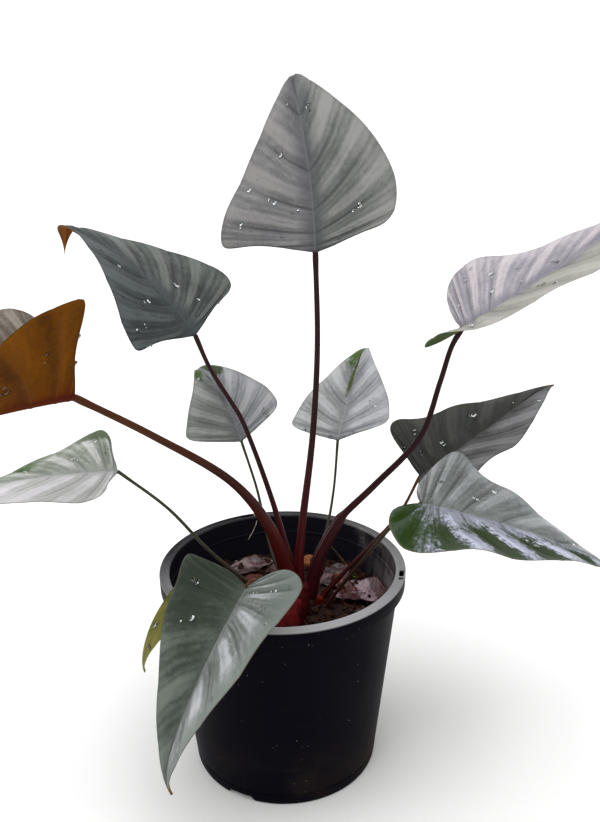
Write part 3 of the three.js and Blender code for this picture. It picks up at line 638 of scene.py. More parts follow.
def half_outline(leaf, side, t):
    """Flat edge of one half, along and across, at shares t of the way round."""
    length, half, lobe = leaf.length, leaf.half[side], leaf.lobe[side]
    top = leaf.shoulder * half
    cleft = (-CLEFT_HANDLE.lobe * lobe - CLEFT_HANDLE.back * top, CLEFT_HANDLE.out * top)
    lobe_arc = ((0, 0), cleft, (-lobe, LOBE_HANDLE * top), (-lobe, top))
    shoulder_arc = (
        (-lobe, top), (-lobe, (half + top) / 2), ((leaf.widest - lobe) / 2, half), (leaf.widest, half))
    ahead, before_tip, beside_tip = (share * length for share in TIP_HANDLES)
    tip_arc = (
        (leaf.widest, half), (leaf.widest + ahead, half), (before_tip, beside_tip * leaf.taper), (length, 0))
    lobes = cubic(lobe_arc, t / LOBE_END)
    shoulders = cubic(shoulder_arc, (t - LOBE_END) / (SHOULDER_END - LOBE_END))
    tips = cubic(tip_arc, (t - SHOULDER_END) / (1 - SHOULDER_END))
    t = t[:, None]
    return np.where(t < LOBE_END, lobes, np.where(t < SHOULDER_END, shoulders, tips))


def rounded_edge(leaf, side, rounds, rounding):
    """The flat edge with its corners rounded by some millimetres, at shares of the way from cleft to tip."""
    fine = np.linspace(0, 1, EDGE_STEPS + 1)
    edge = half_outline(leaf, side, lerp(CLEFT, 1, fine))
    steps = np.linalg.norm(np.diff(edge, axis=0), axis=1)
    run = np.concatenate(([0], np.cumsum(steps)))
    numbers = np.arange(EDGE_STEPS + 1)
    even = np.linspace(0, run[-1], EDGE_STEPS + 1)
    line = np.stack([np.interp(even, run, edge[:, i]) for i in (0, 1)], axis=1)
    reach = int(SOFT_REACH * rounding / (run[-1] / EDGE_STEPS))
    weights = np.exp(-0.5 * (np.arange(-reach, reach + 1) / reach * SOFT_REACH) ** 2)
    weights /= weights.sum()
    before, after = 2 * line[0] - line[reach:0:-1], 2 * line[-1] - line[-2:-reach - 2:-1]
    padded = np.concatenate((before, line, after))
    soft = np.stack([np.convolve(padded[:, i], weights, mode="valid") for i in (0, 1)], axis=1)
    places = np.interp(np.interp(rounds, fine, run), even, numbers)
    return np.stack([np.interp(places, numbers, soft[:, i]) for i in (0, 1)], axis=1)


def midrib_frames(leaf):
    """Share, place, up and right along the bent midrib, from behind the stalk to the tip."""
    heading, rise, roll = (math.radians(x) for x in (leaf.heading, leaf.rise, leaf.roll))
    forward = Vector((math.cos(heading) * math.cos(rise), math.sin(heading) * math.cos(rise), math.sin(rise)))
    right = Vector((math.sin(heading), -math.cos(heading), 0))
    up = right.cross(forward)
    back = Matrix.Rotation(-roll, 3, forward)
    start = (Vector((0, 0, 0)), forward, back @ up, back @ right)

    def march(reach, steps, droop_at, sway, twist):
        place, ahead, above, beside = (v.copy() for v in start)
        step = reach / steps
        frames = [(0, place.copy(), above.copy(), beside.copy())]
        for i in range(steps):
            droop = droop_at((i + 0.5) * step)
            for half_step in (0, 1):
                turn = Matrix.Rotation(math.radians(-droop * step) / 2, 3, beside)
                ahead, above = turn @ ahead, turn @ above
                turn = Matrix.Rotation(math.radians(-sway * step) / 2, 3, above)
                ahead, beside = turn @ ahead, turn @ beside
                turn = Matrix.Rotation(math.radians(twist * step) / 2, 3, ahead)
                above, beside = turn @ above, turn @ beside
                if half_step == 0:
                    place += ahead * step * leaf.length
            frames.append(((i + 1) * step, place.copy(), above.copy(), beside.copy()))
        return frames

    def droop_at(share):
        if leaf.bend:
            place, reach = leaf.bend
            sharp = math.exp(-0.5 * ((share - place) / reach) ** 2)
            return leaf.droop + leaf.tip_curl / (reach * (2 * math.pi) ** 0.5) * sharp
        return leaf.droop + leaf.tip_curl * (TIP_POWER + 1) * share ** TIP_POWER

    ahead = march(1, MIDRIB_STEPS, droop_at, leaf.sway, leaf.twist)
    behind = march(-LOBE_REACH, LOBE_STEPS, lambda share: leaf.lobe_lift / LOBE_REACH, 0, 0)
    frames = behind[:0:-1] + ahead
    return [np.array([frame[i] for frame in frames]) for i in range(4)]


def bent(leaf, frames, along, across, side):
    """Places in space for flat leaf coordinates; side 0 is left and 1 is right."""
    shares, places, ups, rights = frames
    share = along / leaf.length

    def at(rows):
        return np.stack([np.interp(share, shares, rows[:, i]) for i in range(3)], axis=-1)

    fold = np.radians(leaf.fold[side] + leaf.opening[side] * np.clip(share, 0, 1))
    curl = math.radians(leaf.cup[side]) / leaf.half[side]
    if curl:
        out = (np.sin(fold + curl * across) - np.sin(fold)) / curl
        lift = (np.cos(fold) - np.cos(fold + curl * across)) / curl
    else:
        out, lift = across * np.cos(fold), across * np.sin(fold)
    phase = leaf.phase + (0 if side else WAVE_LAG)
    edge = np.clip(across / leaf.half[side], 0, 1) ** 2
    lift = lift + leaf.wave * np.sin(2 * math.pi * (WAVES * share + phase)) * edge
    if side == 0:
        out = -out
    return np.array(leaf.base) + at(places) + at(rights) * out[..., None] + at(ups) * lift[..., None]


class HalfBlade:
    """Fine grid of one half of a blade: rows follow the side veins, columns go out to the edge."""

    def __init__(self, leaf, side, frames, rounding):
        rounds = [*CLEFT_ROWS, *TIP_ROWS]
        for vein in range(leaf.veins):
            numbers = [vein + phase for phase in ROW_PHASES]
            rounds += [(number - 0.5) / (leaf.veins - 0.5) for number in numbers if number > 0.53]
        rounds = np.unique([share for share in rounds if share <= 1])
        edge = rounded_edge(leaf, side, rounds, rounding)
        start = leaf.length * rounds ** VEIN_START
        bow = smoothstep(*BOW_GROWS, rounds)
        bow_along = start + lerp(0.5, VEIN_BOW[0], bow) * (edge[:, 0] - start)
        bow_across = lerp(0.5, VEIN_BOW[1], bow) * edge[:, 1]
        r = np.array(COLUMNS)[None, :]
        along = (1 - r) ** 2 * start[:, None] + 2 * r * (1 - r) * bow_along[:, None] + r * r * edge[:, :1]
        across = np.maximum(2 * r * (1 - r) * bow_across[:, None] + r * r * edge[:, 1:], 0)
        widest = np.argmax(edge[:, 1]) + 1
        for row in range(1, widest):
            behind = np.concatenate((across[row - 1], edge[row:widest, 1]))
            limit = np.concatenate((along[row - 1], edge[row:widest, 0]))
            limit = np.interp(across[row], np.maximum.accumulate(behind), limit)
            along[row] = np.maximum(along[row], limit + ROW_GAP * 4 * r[0] * (1 - r[0]))
        self.leaf, self.side = leaf, side
        self.rounds, self.out = rounds, np.broadcast_to(r, along.shape)
        self.along, self.across = along, across
        self.vein_number = 0.5 + (leaf.veins - 0.5) * rounds
        self.points = bent(leaf, frames, along, across, side)
        ahead = np.gradient(self.points, axis=0)
        outward = np.gradient(self.points, axis=1)
        outward[-1] = outward[-2]
        normal = np.cross(outward, ahead) * (1 if side else -1)
        size = np.linalg.norm(normal, axis=-1, keepdims=True)
        normal /= np.maximum(size, TINY)
        normal[-1] = normal[-2]
        self.normal = normal
        per_vein = ahead / np.gradient(self.vein_number)[:, None, None]
        beside = outward / np.maximum(np.linalg.norm(outward, axis=-1, keepdims=True), TINY)
        per_vein -= beside * (per_vein * beside).sum(axis=-1, keepdims=True)
        self.spacing = np.linalg.norm(per_vein, axis=-1)
        phase = self.vein_number - np.round(self.vein_number)
        self.vein = np.abs(phase)[:, None] * self.spacing
        self.swell = np.broadcast_to(np.abs(np.sin(np.pi * self.vein_number))[:, None], along.shape)
        self.rim = np.linalg.norm(self.points - self.points[:, -1:], axis=-1)

    def relief(self, size):
        """Heights of the upper and lower face over the blade's middle, in millimetres."""
        share = np.clip(self.along / self.leaf.length, 0, 1)
        outer = (1 - RELIEF.pleat_left) * smoothstep(*RELIEF.pleat_out, self.out)
        fade = smoothstep(*RELIEF.pleat_in, self.out) * (1 - outer)
        crown = self.swell ** RELIEF.pleat_power - 0.5
        pleat = size.pleat * crown * np.minimum(self.spacing, RELIEF.pleat_widest) * fade
        vein_width = lerp(*RELIEF.groove_width, self.out)
        groove = np.exp(-(self.vein / vein_width) ** 2) * (1 - smoothstep(*RELIEF.groove_out, self.out))
        groove = size.groove * groove * smoothstep(*RELIEF.groove_space, self.spacing)
        rib = np.exp(-(self.across / (size.rib_width * (1 - RELIEF.rib_taper * share))) ** 2)
        body = bulge(self.rim / (RELIEF.rim * size.thickness))
        body = body * bulge(self.rounds / CLEFT_ROWS[-1])[:, None]
        half = size.thickness / 2 * (1 - RELIEF.thin * smoothstep(RELIEF.thin_from, 1, self.out))
        upper = pleat + body * (half - groove - RELIEF.rib_groove * size.groove * rib * (1 - share))
        depth = size.rib_depth * (1 - RELIEF.rib_fall * share)
        lower = pleat - body * (half + RELIEF.groove_below * groove + depth * rib)
        return upper, lower


BladeSize = namedtuple("BladeSize", "thickness pleat groove rib_width rib_depth")


def blade_piece(name, leaf, size, rounding, materials):
    """One closed blade, with its upper face in the first material and its lower face in the second."""
    frames = midrib_frames(leaf)
    halves = [HalfBlade(leaf, side, frames, rounding) for side in (0, 1)]
    middle = halves[0].normal[:, 0] + halves[1].normal[:, 0]
    middle /= np.linalg.norm(middle, axis=-1, keepdims=True)
    points, faces, finish_of = [], [], []
    values = {key: [] for key in ("along", "across", "vein", "rib", "rim", "swell", "side", "number")}
    start = 0
    for side, half in enumerate(halves):
        half.normal[:, 0] = middle
        sheets = half.relief(size)
        rows, columns = half.along.shape
        for under, sheet in enumerate(sheets):
            points.append((half.points + half.normal * sheet[..., None]).reshape(-1, 3))
            grid = grid_faces(rows, columns, start, flip=bool(side) == bool(under))
            faces.append(grid)
            finish_of += [under] * len(grid)
            share = half.along / leaf.length
            sign = 1 if side else -1
            for key, numbers in (
                ("along", share), ("across", sign * half.out), ("vein", half.vein), ("rib", half.across),
                ("rim", half.rim), ("swell", half.swell), ("side", np.full_like(share, side)),
                ("number", half.vein_number[:, None]),
            ):
                values[key].append(np.broadcast_to(numbers, half.along.shape).ravel())
            start += rows * columns
    points = np.concatenate(points)
    values = {key: np.concatenate(parts) for key, parts in values.items()}
    thing = add_piece(name, points, np.concatenate(faces), materials, finish_of, values, weld=WELD)
    return thing, halves


def leaf_place(halves, side, share_round, out, lift):
    """Place and normal on a blade at a share of the way round and out."""
    half = halves[side]
    row = int(np.searchsorted(half.rounds, share_round))
    row = min(max(row, 1), len(half.rounds) - 2)
    column = min(int(np.searchsorted(np.array(COLUMNS), out)), len(COLUMNS) - 2)
    normal = half.normal[row, column]
    return half.points[row, column] + normal * lift, normal


# Finishes


# In a look, lit sets the phase of the painted light and shade across each pleat
Look = namedtuple(
    "Look", "left right vein edge below rough tip corner patches middle gloss lit fade",
    defaults=(None, 5, (), 1, 0.12, 0, 0.25))
Patch = namedtuple("Patch", "along across reach_along reach_across tint banded ragged", defaults=(False, 1))
GREEN_BELOW = (0x6f7f4a, 0x4f6236)
LOOKS = {
    "a": Look((0x888685, 0x5a5a5c), (0x868784, 0x555755), 0x3b3d43, 0x6c6d64, GREEN_BELOW, 0.44),
    "b": Look((0x555b5c, 0x2c3132), (0x6e726f, 0x363a38), 0x373d40, 0x4b4c45, (0x4b4f42, 0x2a2c26), 0.42,
              0x7a4608),
    "c": Look((0x8c8278, 0x5c5448), (0x9a928a, 0x5a5248), 0x4c453c, 0x3a2406, (0x764500, 0x432302), 0.42),
    "d": Look((0xd6d4d8, 0x9fa29c), (0xc6c8c4, 0x6f7868), 0x7a7c80, 0x4b5736, GREEN_BELOW, 0.34, None, 4,
              (Patch(0.66, 1.0, 0.36, 0.42, 0x2a4c06), Patch(0.08, 0.95, 0.2, 0.22, 0x4c5a40)), 0.5),
    "e": Look((0xc6bdc2, 0x85828c), (0xa9a79f, 0x8a8a82), 0x6a6873, 0xa0a394, (0x46561f, 0x2c3a10), 0.40),
    "f": Look((0x464743, 0x2a2c28), (0x88888b, 0x4a4b49), 0x2a2b28, 0x3c3c34, GREEN_BELOW, 0.42, 0x4c2c14),
    # g: the pale shade of its right half is a bluish white, partly the blade's silver and partly a painted
    # reflection of glare on its glossy stripes
    "g": Look((0xa0a3a6, 0x666a68), (0xb9bcd0, 0x7a7e88), 0x3c423a, 0x544c22, (0x6c7c3c, 0x2c3c12), 0.3,
              None, 5, (Patch(0.36, 0.86, 0.9, 0.62, 0x223206, True),
                        Patch(-0.12, 0.8, 0.26, 0.95, 0x1d3300)), 0.5, 0.1),
    "h": Look((0x8e908f, 0x62655f), (0xa6a6aa, 0x75767a), 0x55585a, 0x767c70, GREEN_BELOW, 0.36, None, 4,
              (Patch(0.88, -0.75, 0.2, 0.4, 0x33490a), Patch(0.74, 0.78, 0.14, 0.24, 0x2c3c16))),
    "i": Look((0xb3b3b5, 0x7e8080), (0xb6b6ba, 0x808286), 0x5c6064, 0x8d9186, GREEN_BELOW, 0.34, None, 4,
              (Patch(0.9, -0.5, 0.26, 0.62, 0x3b5204), Patch(0.62, -0.1, 0.24, 0.12, 0x44521c)), 0.7),
    "j": Look((0xb4b6ba, 0x59605a), (0x646c64, 0x343c34), 0x444c46, 0x50382c, GREEN_BELOW, 0.34, 0x6f3a1a, 5,
              (Patch(-0.02, -1.0, 0.34, 0.62, 0x56605a, ragged=0.3),
               Patch(0.02, 0.6, 0.4, 0.7, 0x2c352b, ragged=0.3),
               Patch(0.6, -1.0, 0.9, 0.42, 0x6c746e, ragged=0.3),
               Patch(1.0, -0.4, 0.34, 0.9, 0x5f6862, ragged=0.3)), 0.6),
    "k": Look((0x706c30, 0x444812), (0x706c30, 0x444812), 0x76733e, 0x84824e, (0x7c7a36, 0x4c4e1c), 0.42),
}


def leaf_above(key, look):
    """Upper face: silvery, in satin streaks along the side veins, with painted light and shade across each
    pleat, and a thin edge.
    """
    finish = Finish(f"leaf_{key}_upper")
    vein, rib, rim = (finish.attribute(name) for name in ("vein", "rib", "rim"))
    along, across, side = (finish.attribute(name) for name in ("along", "across", "side"))
    swell, number = finish.attribute("swell"), finish.attribute("number")
    out = across.size()
    cloud = finish.noise(24, 3, 0.5)
    mottle = finish.noise(260, 5, 0.62, warp=0.6)
    grain = finish.noise(1700, 3, 0.6)
    streak = finish.noise(1, 3, 0.55, vector=finish.vector(number * 1.7 + side * 40, out * 1.6, 0))
    fine = finish.noise(1, 4, 0.65, vector=finish.vector(number * 9 + side * 40, out * 5, 3))
    drift = streak.about(0.5)
    # Waves in step with the side veins: painted light and shade across each pleat, lighter on one flank and
    # darker on the other; they also feed the bump relief
    pleat_relief_and_painted_shade = (number + drift * 0.3).wave(0.75) * 0.1 + (number * 2 + drift).wave(0.6) * 0.1
    pleat_relief_and_painted_shade = pleat_relief_and_painted_shade + (number * 5 + drift * 3).wave() * 0.1 + (number + drift * 0.2).wave(look.lit) * 0.19
    tone = 0.5 + streak.about(0.25) + fine.about(0.6) + cloud.about(0.75) + mottle.about(0.6)
    tone = tone + (along - 0.4) * look.fade + (out.above(0.45, 1.0) - 0.4) * 0.22
    silver = (tone + pleat_relief_and_painted_shade * out.above(0.02, 0.25)).above(0.0, 1.0)
    left = finish.mix(silver, look.left[1], look.left[0])
    right = finish.mix(silver, look.right[1], look.right[0])
    shade = finish.mix(side, left, right)
    middle = rib.above(15, 1.5) * (0.62 + streak.about(0.5))
    shade = finish.mix(middle * look.middle, shade, look.vein)
    shade = finish.mix(vein.above(1.6, 0.1) * out.above(0.95, 0.35) * 0.55, shade, look.vein)
    shade = finish.mix(rib.above(1.1, 0.4) * (1 - along * 0.7) * 0.2, shade, look.left[0])
    for patch in look.patches:
        near = ((along - patch.along) / patch.reach_along) ** 2
        near = near + ((across - patch.across) / patch.reach_across) ** 2
        ragged = mottle.about(1.1) + fine.about(1.6) + cloud.about(0.8)
        mask = (near + ragged * patch.ragged).above(1.1 + 0.3 * patch.ragged, 0.75 * patch.ragged - 0.3)
        if patch.banded:
            band = (swell + fine.about(0.9) + mottle.about(0.9) + streak.about(1.4)).above(0.95, 0.6)
            mask = mask * band
        shade = finish.mix(mask * 0.95, shade, patch.tint)
    if look.tip:
        shade = finish.mix((along + cloud.about(0.04)).above(0.92, 0.965), shade, look.tip)
    speck = finish.cells(520).above(0.16, 0.07) * finish.noise(90, 2).above(0.58, 0.66)
    shade = finish.mix(speck * 0.35, shade, 0xc9cdc4)
    shade = finish.mix(rim.above(3.5, 0.4) * 0.3, shade, look.left[1])
    shade = finish.mix(rim.above(0.8, 0.2) * 0.65, shade, look.edge)
    rough = look.rough + mottle.about(0.25) + cloud.about(0.15)
    relief = grain * 0.3 + finish.cells(900, "DISTANCE_TO_EDGE") * 0.9 + mottle * 0.5 + fine * 1.2
    relief = relief + pleat_relief_and_painted_shade * 2.5
    return finish.surface({
        "Base Color": shade, "Roughness": rough, "Normal": finish.bump(relief, 0.0003, 0.5),
        "Specular IOR Level": look.gloss,
    })


def leaf_below(key, look):
    """Lower face: duller, flushed red round the stalk, with paler veins."""
    finish = Finish(f"leaf_{key}_lower")
    vein, rib, rim, along = (finish.attribute(name) for name in ("vein", "rib", "rim", "along"))
    number, side, across = (finish.attribute(name) for name in ("number", "side", "across"))
    cloud = finish.noise(30, 3, 0.5)
    mottle = finish.noise(300, 4, 0.6)
    streak = finish.noise(1, 3, 0.6, vector=finish.vector(number * 2.4 + side * 30, across.size() * 1.5, 7))
    pale, deep = look.below
    pleats = (number + streak.about(0.3)).wave(0.5) * 0.16 + (number * 2 + streak).wave() * 0.06
    tone = cloud.about(0.8) + streak.about(0.5) + mottle.about(0.6) + pleats + 0.5
    shade = finish.mix(tone.above(0.0, 1.0), deep, pale)
    shade = finish.mix(vein.above(1.2, 0.1) * across.size().above(0.95, 0.4) * 0.35, shade, pale)
    flush = rib.above(30, 2) * along.above(0.5, -0.1) * 0.6 + rib.above(9, 1) * along.above(1.3, 0.1) * 0.5
    shade = finish.mix(flush, shade, 0x4a140a)
    shade = finish.mix(rib.above(2.4, 0.8) * along.above(0.9, 0.1) * 0.5, shade, 0x5a2a10)
    if look.tip:
        shade = finish.mix((along + cloud.about(0.1)).above(0.7, 0.78), shade, look.tip)
    shade = finish.mix(rim.above(5, 0.5) * 0.35, shade, pale)
    shade = finish.mix(rim.above(0.9, 0.3) * 0.6, shade, look.edge)
    return finish.surface({
        "Base Color": shade, "Roughness": 0.6 + mottle.about(0.2),
        "Normal": finish.bump(mottle + finish.cells(800, "DISTANCE_TO_EDGE"), 0.0002, 0.5),
        "Specular IOR Level": 0.06,
    })


def stalk_finish(name, low, middle, high, rough=0.42):
    """Fleshy stalk with fine lengthwise lines and pale dots; its colour runs from foot to blade."""
    finish = Finish(name)
    share, around, run = (finish.attribute(key) for key in ("share", "around", "run"))
    lines = finish.noise(1, 4, 0.6, vector=finish.vector(around * 3.2, run * 0.035, 0))
    blotch = finish.noise(70, 3, 0.55)
    wander = share + blotch.about(0.22)
    shade = finish.ramp(wander, (0.0, high), (0.12, high), (0.5, middle), (0.9, low))
    dark = finish.mix(lines.above(0.35, 0.7) * 0.45, shade, (0.008, 0.004, 0.004))
    dots = finish.cells(420).above(0.13, 0.05) * finish.noise(150, 1).above(0.5, 0.6)
    shade = finish.mix(dots * 0.35, dark, 0xa08878)
    return finish.surface({
        "Base Color": shade, "Roughness": rough + lines.about(0.3),
        "Normal": finish.bump(lines * 0.8 + blotch * 0.4, 0.0003, 0.6), "Specular IOR Level": 0.09,
    })


def plastic_finish(settings):
    """Black moulded plastic with dust, scratches, splashes and a brown bloom near the foot; painted light on
    the rim's top and on the right of the inner wall, and a painted sheen on the left and right flanks.
    """
    finish = Finish("pot_plastic")
    z = finish.axis("Z")
    dust = finish.noise(18, 5, 0.6)
    fine = finish.noise(900, 3, 0.6)
    wisps = finish.noise(14, 5, 0.65, vector=finish.stretched(1, 1, 3.2), warp=1.2)
    long_lines = finish.noise(60, 4, 0.7, vector=finish.stretched(1, 1, 0.16))
    scratch = (long_lines.above(0.66, 0.72) * wisps.above(0.5, 0.62)) * settings.scratches
    low = z.above(0.075, 0.01)
    bloom = low * dust.above(0.42, 0.72)
    shade = finish.mix(bloom * 0.65, settings.plastic, settings.bloom)
    shade = finish.mix(wisps.above(0.55, 0.8) * 0.25, shade, settings.dust)
    shade = finish.mix(scratch * 0.4, shade, 0x8d8a84)
    specks = finish.cells(210).above(0.085, 0.035) * finish.noise(40, 2).above(0.52, 0.62)
    shade = finish.mix(specks * 0.75, shade, 0xb9b4aa)
    sideways, backward = finish.axis("X"), finish.axis("Y")
    # rim_light_side grows towards the front and right, where the painted light on the rim is strongest
    rim_light_side = sideways * 3 - backward * 5 + dust.about(0.8) + 0.45
    radius = (sideways * sideways + backward * backward) ** 0.5
    slope = (POT.neck - POT.low) / (POT.neck_height - POT.corner)
    inside = (z * slope + (POT.low - POT.wall) * MM - radius).above(-0.0006, 0.0006)
    # Painted sheen: a warm brown where the outer wall turns away at the left and right
    painted_flank_sheen = (sideways / radius).size().above(0.8, 1.0) * (1 - inside) * (0.5 + dust.about(1.5))
    shade = finish.mix(painted_flank_sheen * 0.5, shade, 0x33211f)
    # The inner wall is tinted a lighter grey, and its right side gets a paler painted light, as if lit from
    # the left
    shade = finish.mix(inside * 0.55, shade, 0x24222a)
    painted_inner_wall_light = (sideways * 15 - 0.85 + dust.about(1.8) + long_lines.about(1.2)).above(0.0, 1.0)
    shade = finish.mix(inside * painted_inner_wall_light * 0.75, shade, 0x948a8c)
    # Painted reflection of the bright room on the rim's flat top
    top = z.above(0.1738, 0.1756) * rim_light_side.above(-0.35, 1.1)
    shade = finish.mix(top * 0.9, shade, 0xa3a2a6)
    rough = 0.5 + dust.about(0.35) + scratch * 0.2 + fine.about(0.15) - top * 0.1
    return finish.surface({
        "Base Color": shade, "Roughness": rough,
        "Normal": finish.bump(fine * 0.3 + scratch * -0.8 + dust * 0.6, 0.0003, 0.5),
        "Specular IOR Level": 0.025,
    })


def soil_finish(name, dark, light, rough=0.85):
    """Crumbly peat and bark fines."""
    finish = Finish(name)
    grain = finish.noise(420, 6, 0.7)
    clod = finish.noise(90, 4, 0.6)
    shade = finish.ramp(grain * 0.6 + clod * 0.45, (0.32, dark), (0.55, light), (0.85, 0x452a1f))
    wet = clod.above(0.5, 0.7)
    return finish.surface({
        "Base Color": shade, "Roughness": rough - wet * 0.4,
        "Normal": finish.bump(grain + clod * 0.5, 0.0015, 0.9), "Specular IOR Level": 0.16,
    })


def plain_finish(name, shade, other, scale, rough, relief=0.0003):
    """Two shades of one stuff in cloudy patches, with a fine grain."""
    finish = Finish(name)
    cloud = finish.noise(scale, 5, 0.62)
    grain = finish.noise(scale * 9, 3, 0.6)
    return finish.surface({
        "Base Color": finish.mix(cloud.above(0.35, 0.65), shade, other),
        "Roughness": rough + grain.about(0.25),
        "Normal": finish.bump(cloud + grain * 0.4, relief, 0.7), "Specular IOR Level": 0.2,
    })


def dry_leaf_finish(name, base, light):
    """Dried leaf: glossy purple-brown with paler veins, and painted highlights in pale streaks over its
    folds.
    """
    finish = Finish(name)
    along, across = finish.attribute("along"), finish.attribute("across")
    cloud = finish.noise(120, 5, 0.6)
    stripes = finish.noise(1, 3, 0.6, vector=finish.vector(along * 16, across * 2.2, 0))
    # Painted highlights: the light colour in wavy streaks across the folds
    painted_highlight = (across * 0.45 + along * 0.6 + cloud.about(1.1) + 0.1).wave()
    shade = finish.mix((painted_highlight * 0.6 + cloud.about(0.8)).above(0.05, 0.65) * 0.7, base, light)
    shade = finish.mix(stripes.above(0.5, 0.6) * 0.4, shade, (0.03, 0.012, 0.012))
    return finish.surface({
        "Base Color": shade, "Roughness": 0.2 + cloud.about(0.3),
        "Normal": finish.bump(stripes + cloud * 0.6, 0.0008, 0.9), "Specular IOR Level": 0.5,
    })


def water_finish():
    """Clear water with a faint ripple."""
    finish = Finish("water")
    ripple = finish.noise(240, 2, 0.5)
    return finish.surface({
        "Base Color": (0.93, 0.97, 0.97), "Roughness": 0.02 + ripple * 0.05, "Transmission Weight": 1.0,
        "IOR": 1.33, "Normal": finish.bump(ripple, 0.00005, 0.2),
    })


def floor_finish(settings):
    """Pale matt floor in two near shades."""
    finish = Finish("floor")
    cloud = finish.noise(3, 3, 0.5)
    shade = finish.mix(cloud.above(0.3, 0.7), settings.floor, tuple(0.985 * c for c in settings.floor))
    return finish.surface({
        "Base Color": shade, "Roughness": 0.9 + cloud.about(0.1), "Specular IOR Level": 0.0,
    })


# Sizes and colours that a user may change


def length_setting(name, description, millimetres):
    return bpy.props.FloatProperty(
        name=name, description=description, default=millimetres * MM, unit="LENGTH", precision=5)


def colour_setting(name, description, default):
    return bpy.props.FloatVectorProperty(name=name, description=description, subtype="COLOR", default=default)


def number_setting(name, description, default):
    kind = bpy.props.IntProperty if isinstance(default, int) else bpy.props.FloatProperty
    return kind(name=name, description=description, default=default)


class PLANT_PG_leaves(bpy.types.PropertyGroup):
    thickness: length_setting("Blade thickness", "Thickness of a blade away from its ribs", 0.8)
    pleat: number_setting("Pleats", "Swelling between side veins, as a share of the space between them", 0.13)
    groove: length_setting("Vein depth", "Depth of the side veins in the upper face", 0.22)
    rib_width: length_setting("Midrib width", "Half the width of the midrib at the stalk", 1.7)
    rib_depth: length_setting("Midrib depth", "Depth of the midrib below the blade at the stalk", 1.5)
    droplets: number_setting("Water drops", "Drops on a blade of middle size", 42)


class PLANT_PG_pot(bpy.types.PropertyGroup):
    plastic: colour_setting("Plastic", "Colour of the clean pot", (0.0011, 0.0012, 0.004))
    dust: colour_setting("Dust", "Colour of the dust on the pot", (0.012, 0.011, 0.013))
    bloom: colour_setting("Soil bloom", "Brown tint near the foot", (0.02, 0.011, 0.009))
    scratches: number_setting("Scratches", "Strength of the scratches", 1.0)
    sides: number_setting("Sides", "Steps round the pot", 192)


class PLANT_PG_soil(bpy.types.PropertyGroup):
    dark: colour_setting("Damp mix", "Darker shade of the potting mix", (0.004, 0.002, 0.0018))
    light: colour_setting("Dry mix", "Lighter shade of the potting mix", (0.024, 0.011, 0.008))
    crumbs: number_setting("Crumbs", "Loose crumbs on the soil", 520)
    specks: number_setting("Perlite", "White perlite specks on the soil", 34)
    fibres: number_setting("Fibres", "Thin root fibres on the soil", 46)


class PLANT_PG_stage(bpy.types.PropertyGroup):
    floor: colour_setting("Floor", "Colour of the floor", (0.94, 0.94, 0.94))
    sky: number_setting("Room light", "Strength of the even light", 0.7)
    key: number_setting("Key light", "Strength of the large soft lamp", 2.1)


# Pot


def pot_profile():
    """Half cross-section of the pot as radius and height, from the middle of the foot round to the floor."""
    height, rim, lip, corner = POT.height, POT.rim, POT.lip, POT.corner
    under = height - POT.flange
    skirt_foot = height - POT.skirt_drop

    def inner(z):
        return wall_radius(z) - POT.wall

    def arc(radius, z, reach, first, last, steps):
        turns = [math.radians(lerp(first, last, i / steps)) for i in range(steps + 1)]
        return [(radius + reach * math.cos(a), z + reach * math.sin(a)) for a in turns]

    foot = []
    for i in range(9):
        angle = i / 8 * math.pi / 2
        foot.append((lerp(POT.base, POT.low, math.sin(angle)), corner * (1 - math.cos(angle))))
    groove = [(wall_radius(z) + depth, z) for z, depth in GROOVE]
    wall = [(wall_radius(z), z) for z in WALL_HEIGHTS]
    rim_out, bevel = rim - POT.skirt, SKIRT_EDGE.bevel
    skirt = [(POT.neck, POT.neck_height), (POT.neck, under - bevel), (POT.neck + bevel, under)]
    skirt += [(rim_out - bevel, under), (rim_out, under - bevel), (rim_out, skirt_foot + 0.4)]
    edge_middle = (rim_out + SKIRT_EDGE.out, skirt_foot + SKIRT_EDGE.up)
    skirt += arc(*edge_middle, SKIRT_EDGE.fillet, 180, 360, 6)
    top = arc(rim - lip, height - lip, lip, 0, 90, 6)
    rim_inner, low_top, fillet = POT.rim_inner, height - RIM_LEDGE.depth, RIM_LEDGE.fillet
    ledge = [(rim - RIM_LEDGE.outer[0], height), (rim - RIM_LEDGE.outer[1], low_top)]
    ledge += [(rim_inner + RIM_LEDGE.inner[0], low_top), (rim_inner + RIM_LEDGE.inner[1], height)]
    inside = arc(rim_inner + fillet, height - fillet, fillet, 90, 180, 5)
    bead_z, bead_half = POT.bead_height, POT.bead_half
    bead = [(inner(bead_z + bead_half + 0.3), bead_z + bead_half + 0.3)]
    for i in range(7):
        share = i / 6
        z = bead_z + bead_half * (1 - 2 * share)
        bead.append((inner(z) - POT.bead * math.sin(math.pi * share), z))
    low = POT.floor + corner
    floor = [(inner(low), low), (inner(low) - POT.chamfer, POT.floor), (0, POT.floor)]
    return [(0, 0), *foot, *groove, *wall, *skirt, *top, *ledge, *inside, *bead, *floor]


def turned(profile, sides):
    """A solid turned about the upright axis. The profile starts and ends on the axis."""
    middle = profile[1:-1]
    points = [(0, 0, profile[0][1]), (0, 0, profile[-1][1])]
    for i in range(sides):
        angle = 2 * math.pi * i / sides
        points += [(r * math.cos(angle), r * math.sin(angle), z) for r, z in middle]
    faces = []
    count = len(middle)
    for i in range(sides):
        here, there = 2 + i * count, 2 + (i + 1) % sides * count
        faces.append((0, there, here))
        faces.append((1, here + count - 1, there + count - 1))
        faces += [(here + k, there + k, there + k + 1, here + k + 1) for k in range(count - 1)]
    return points, faces


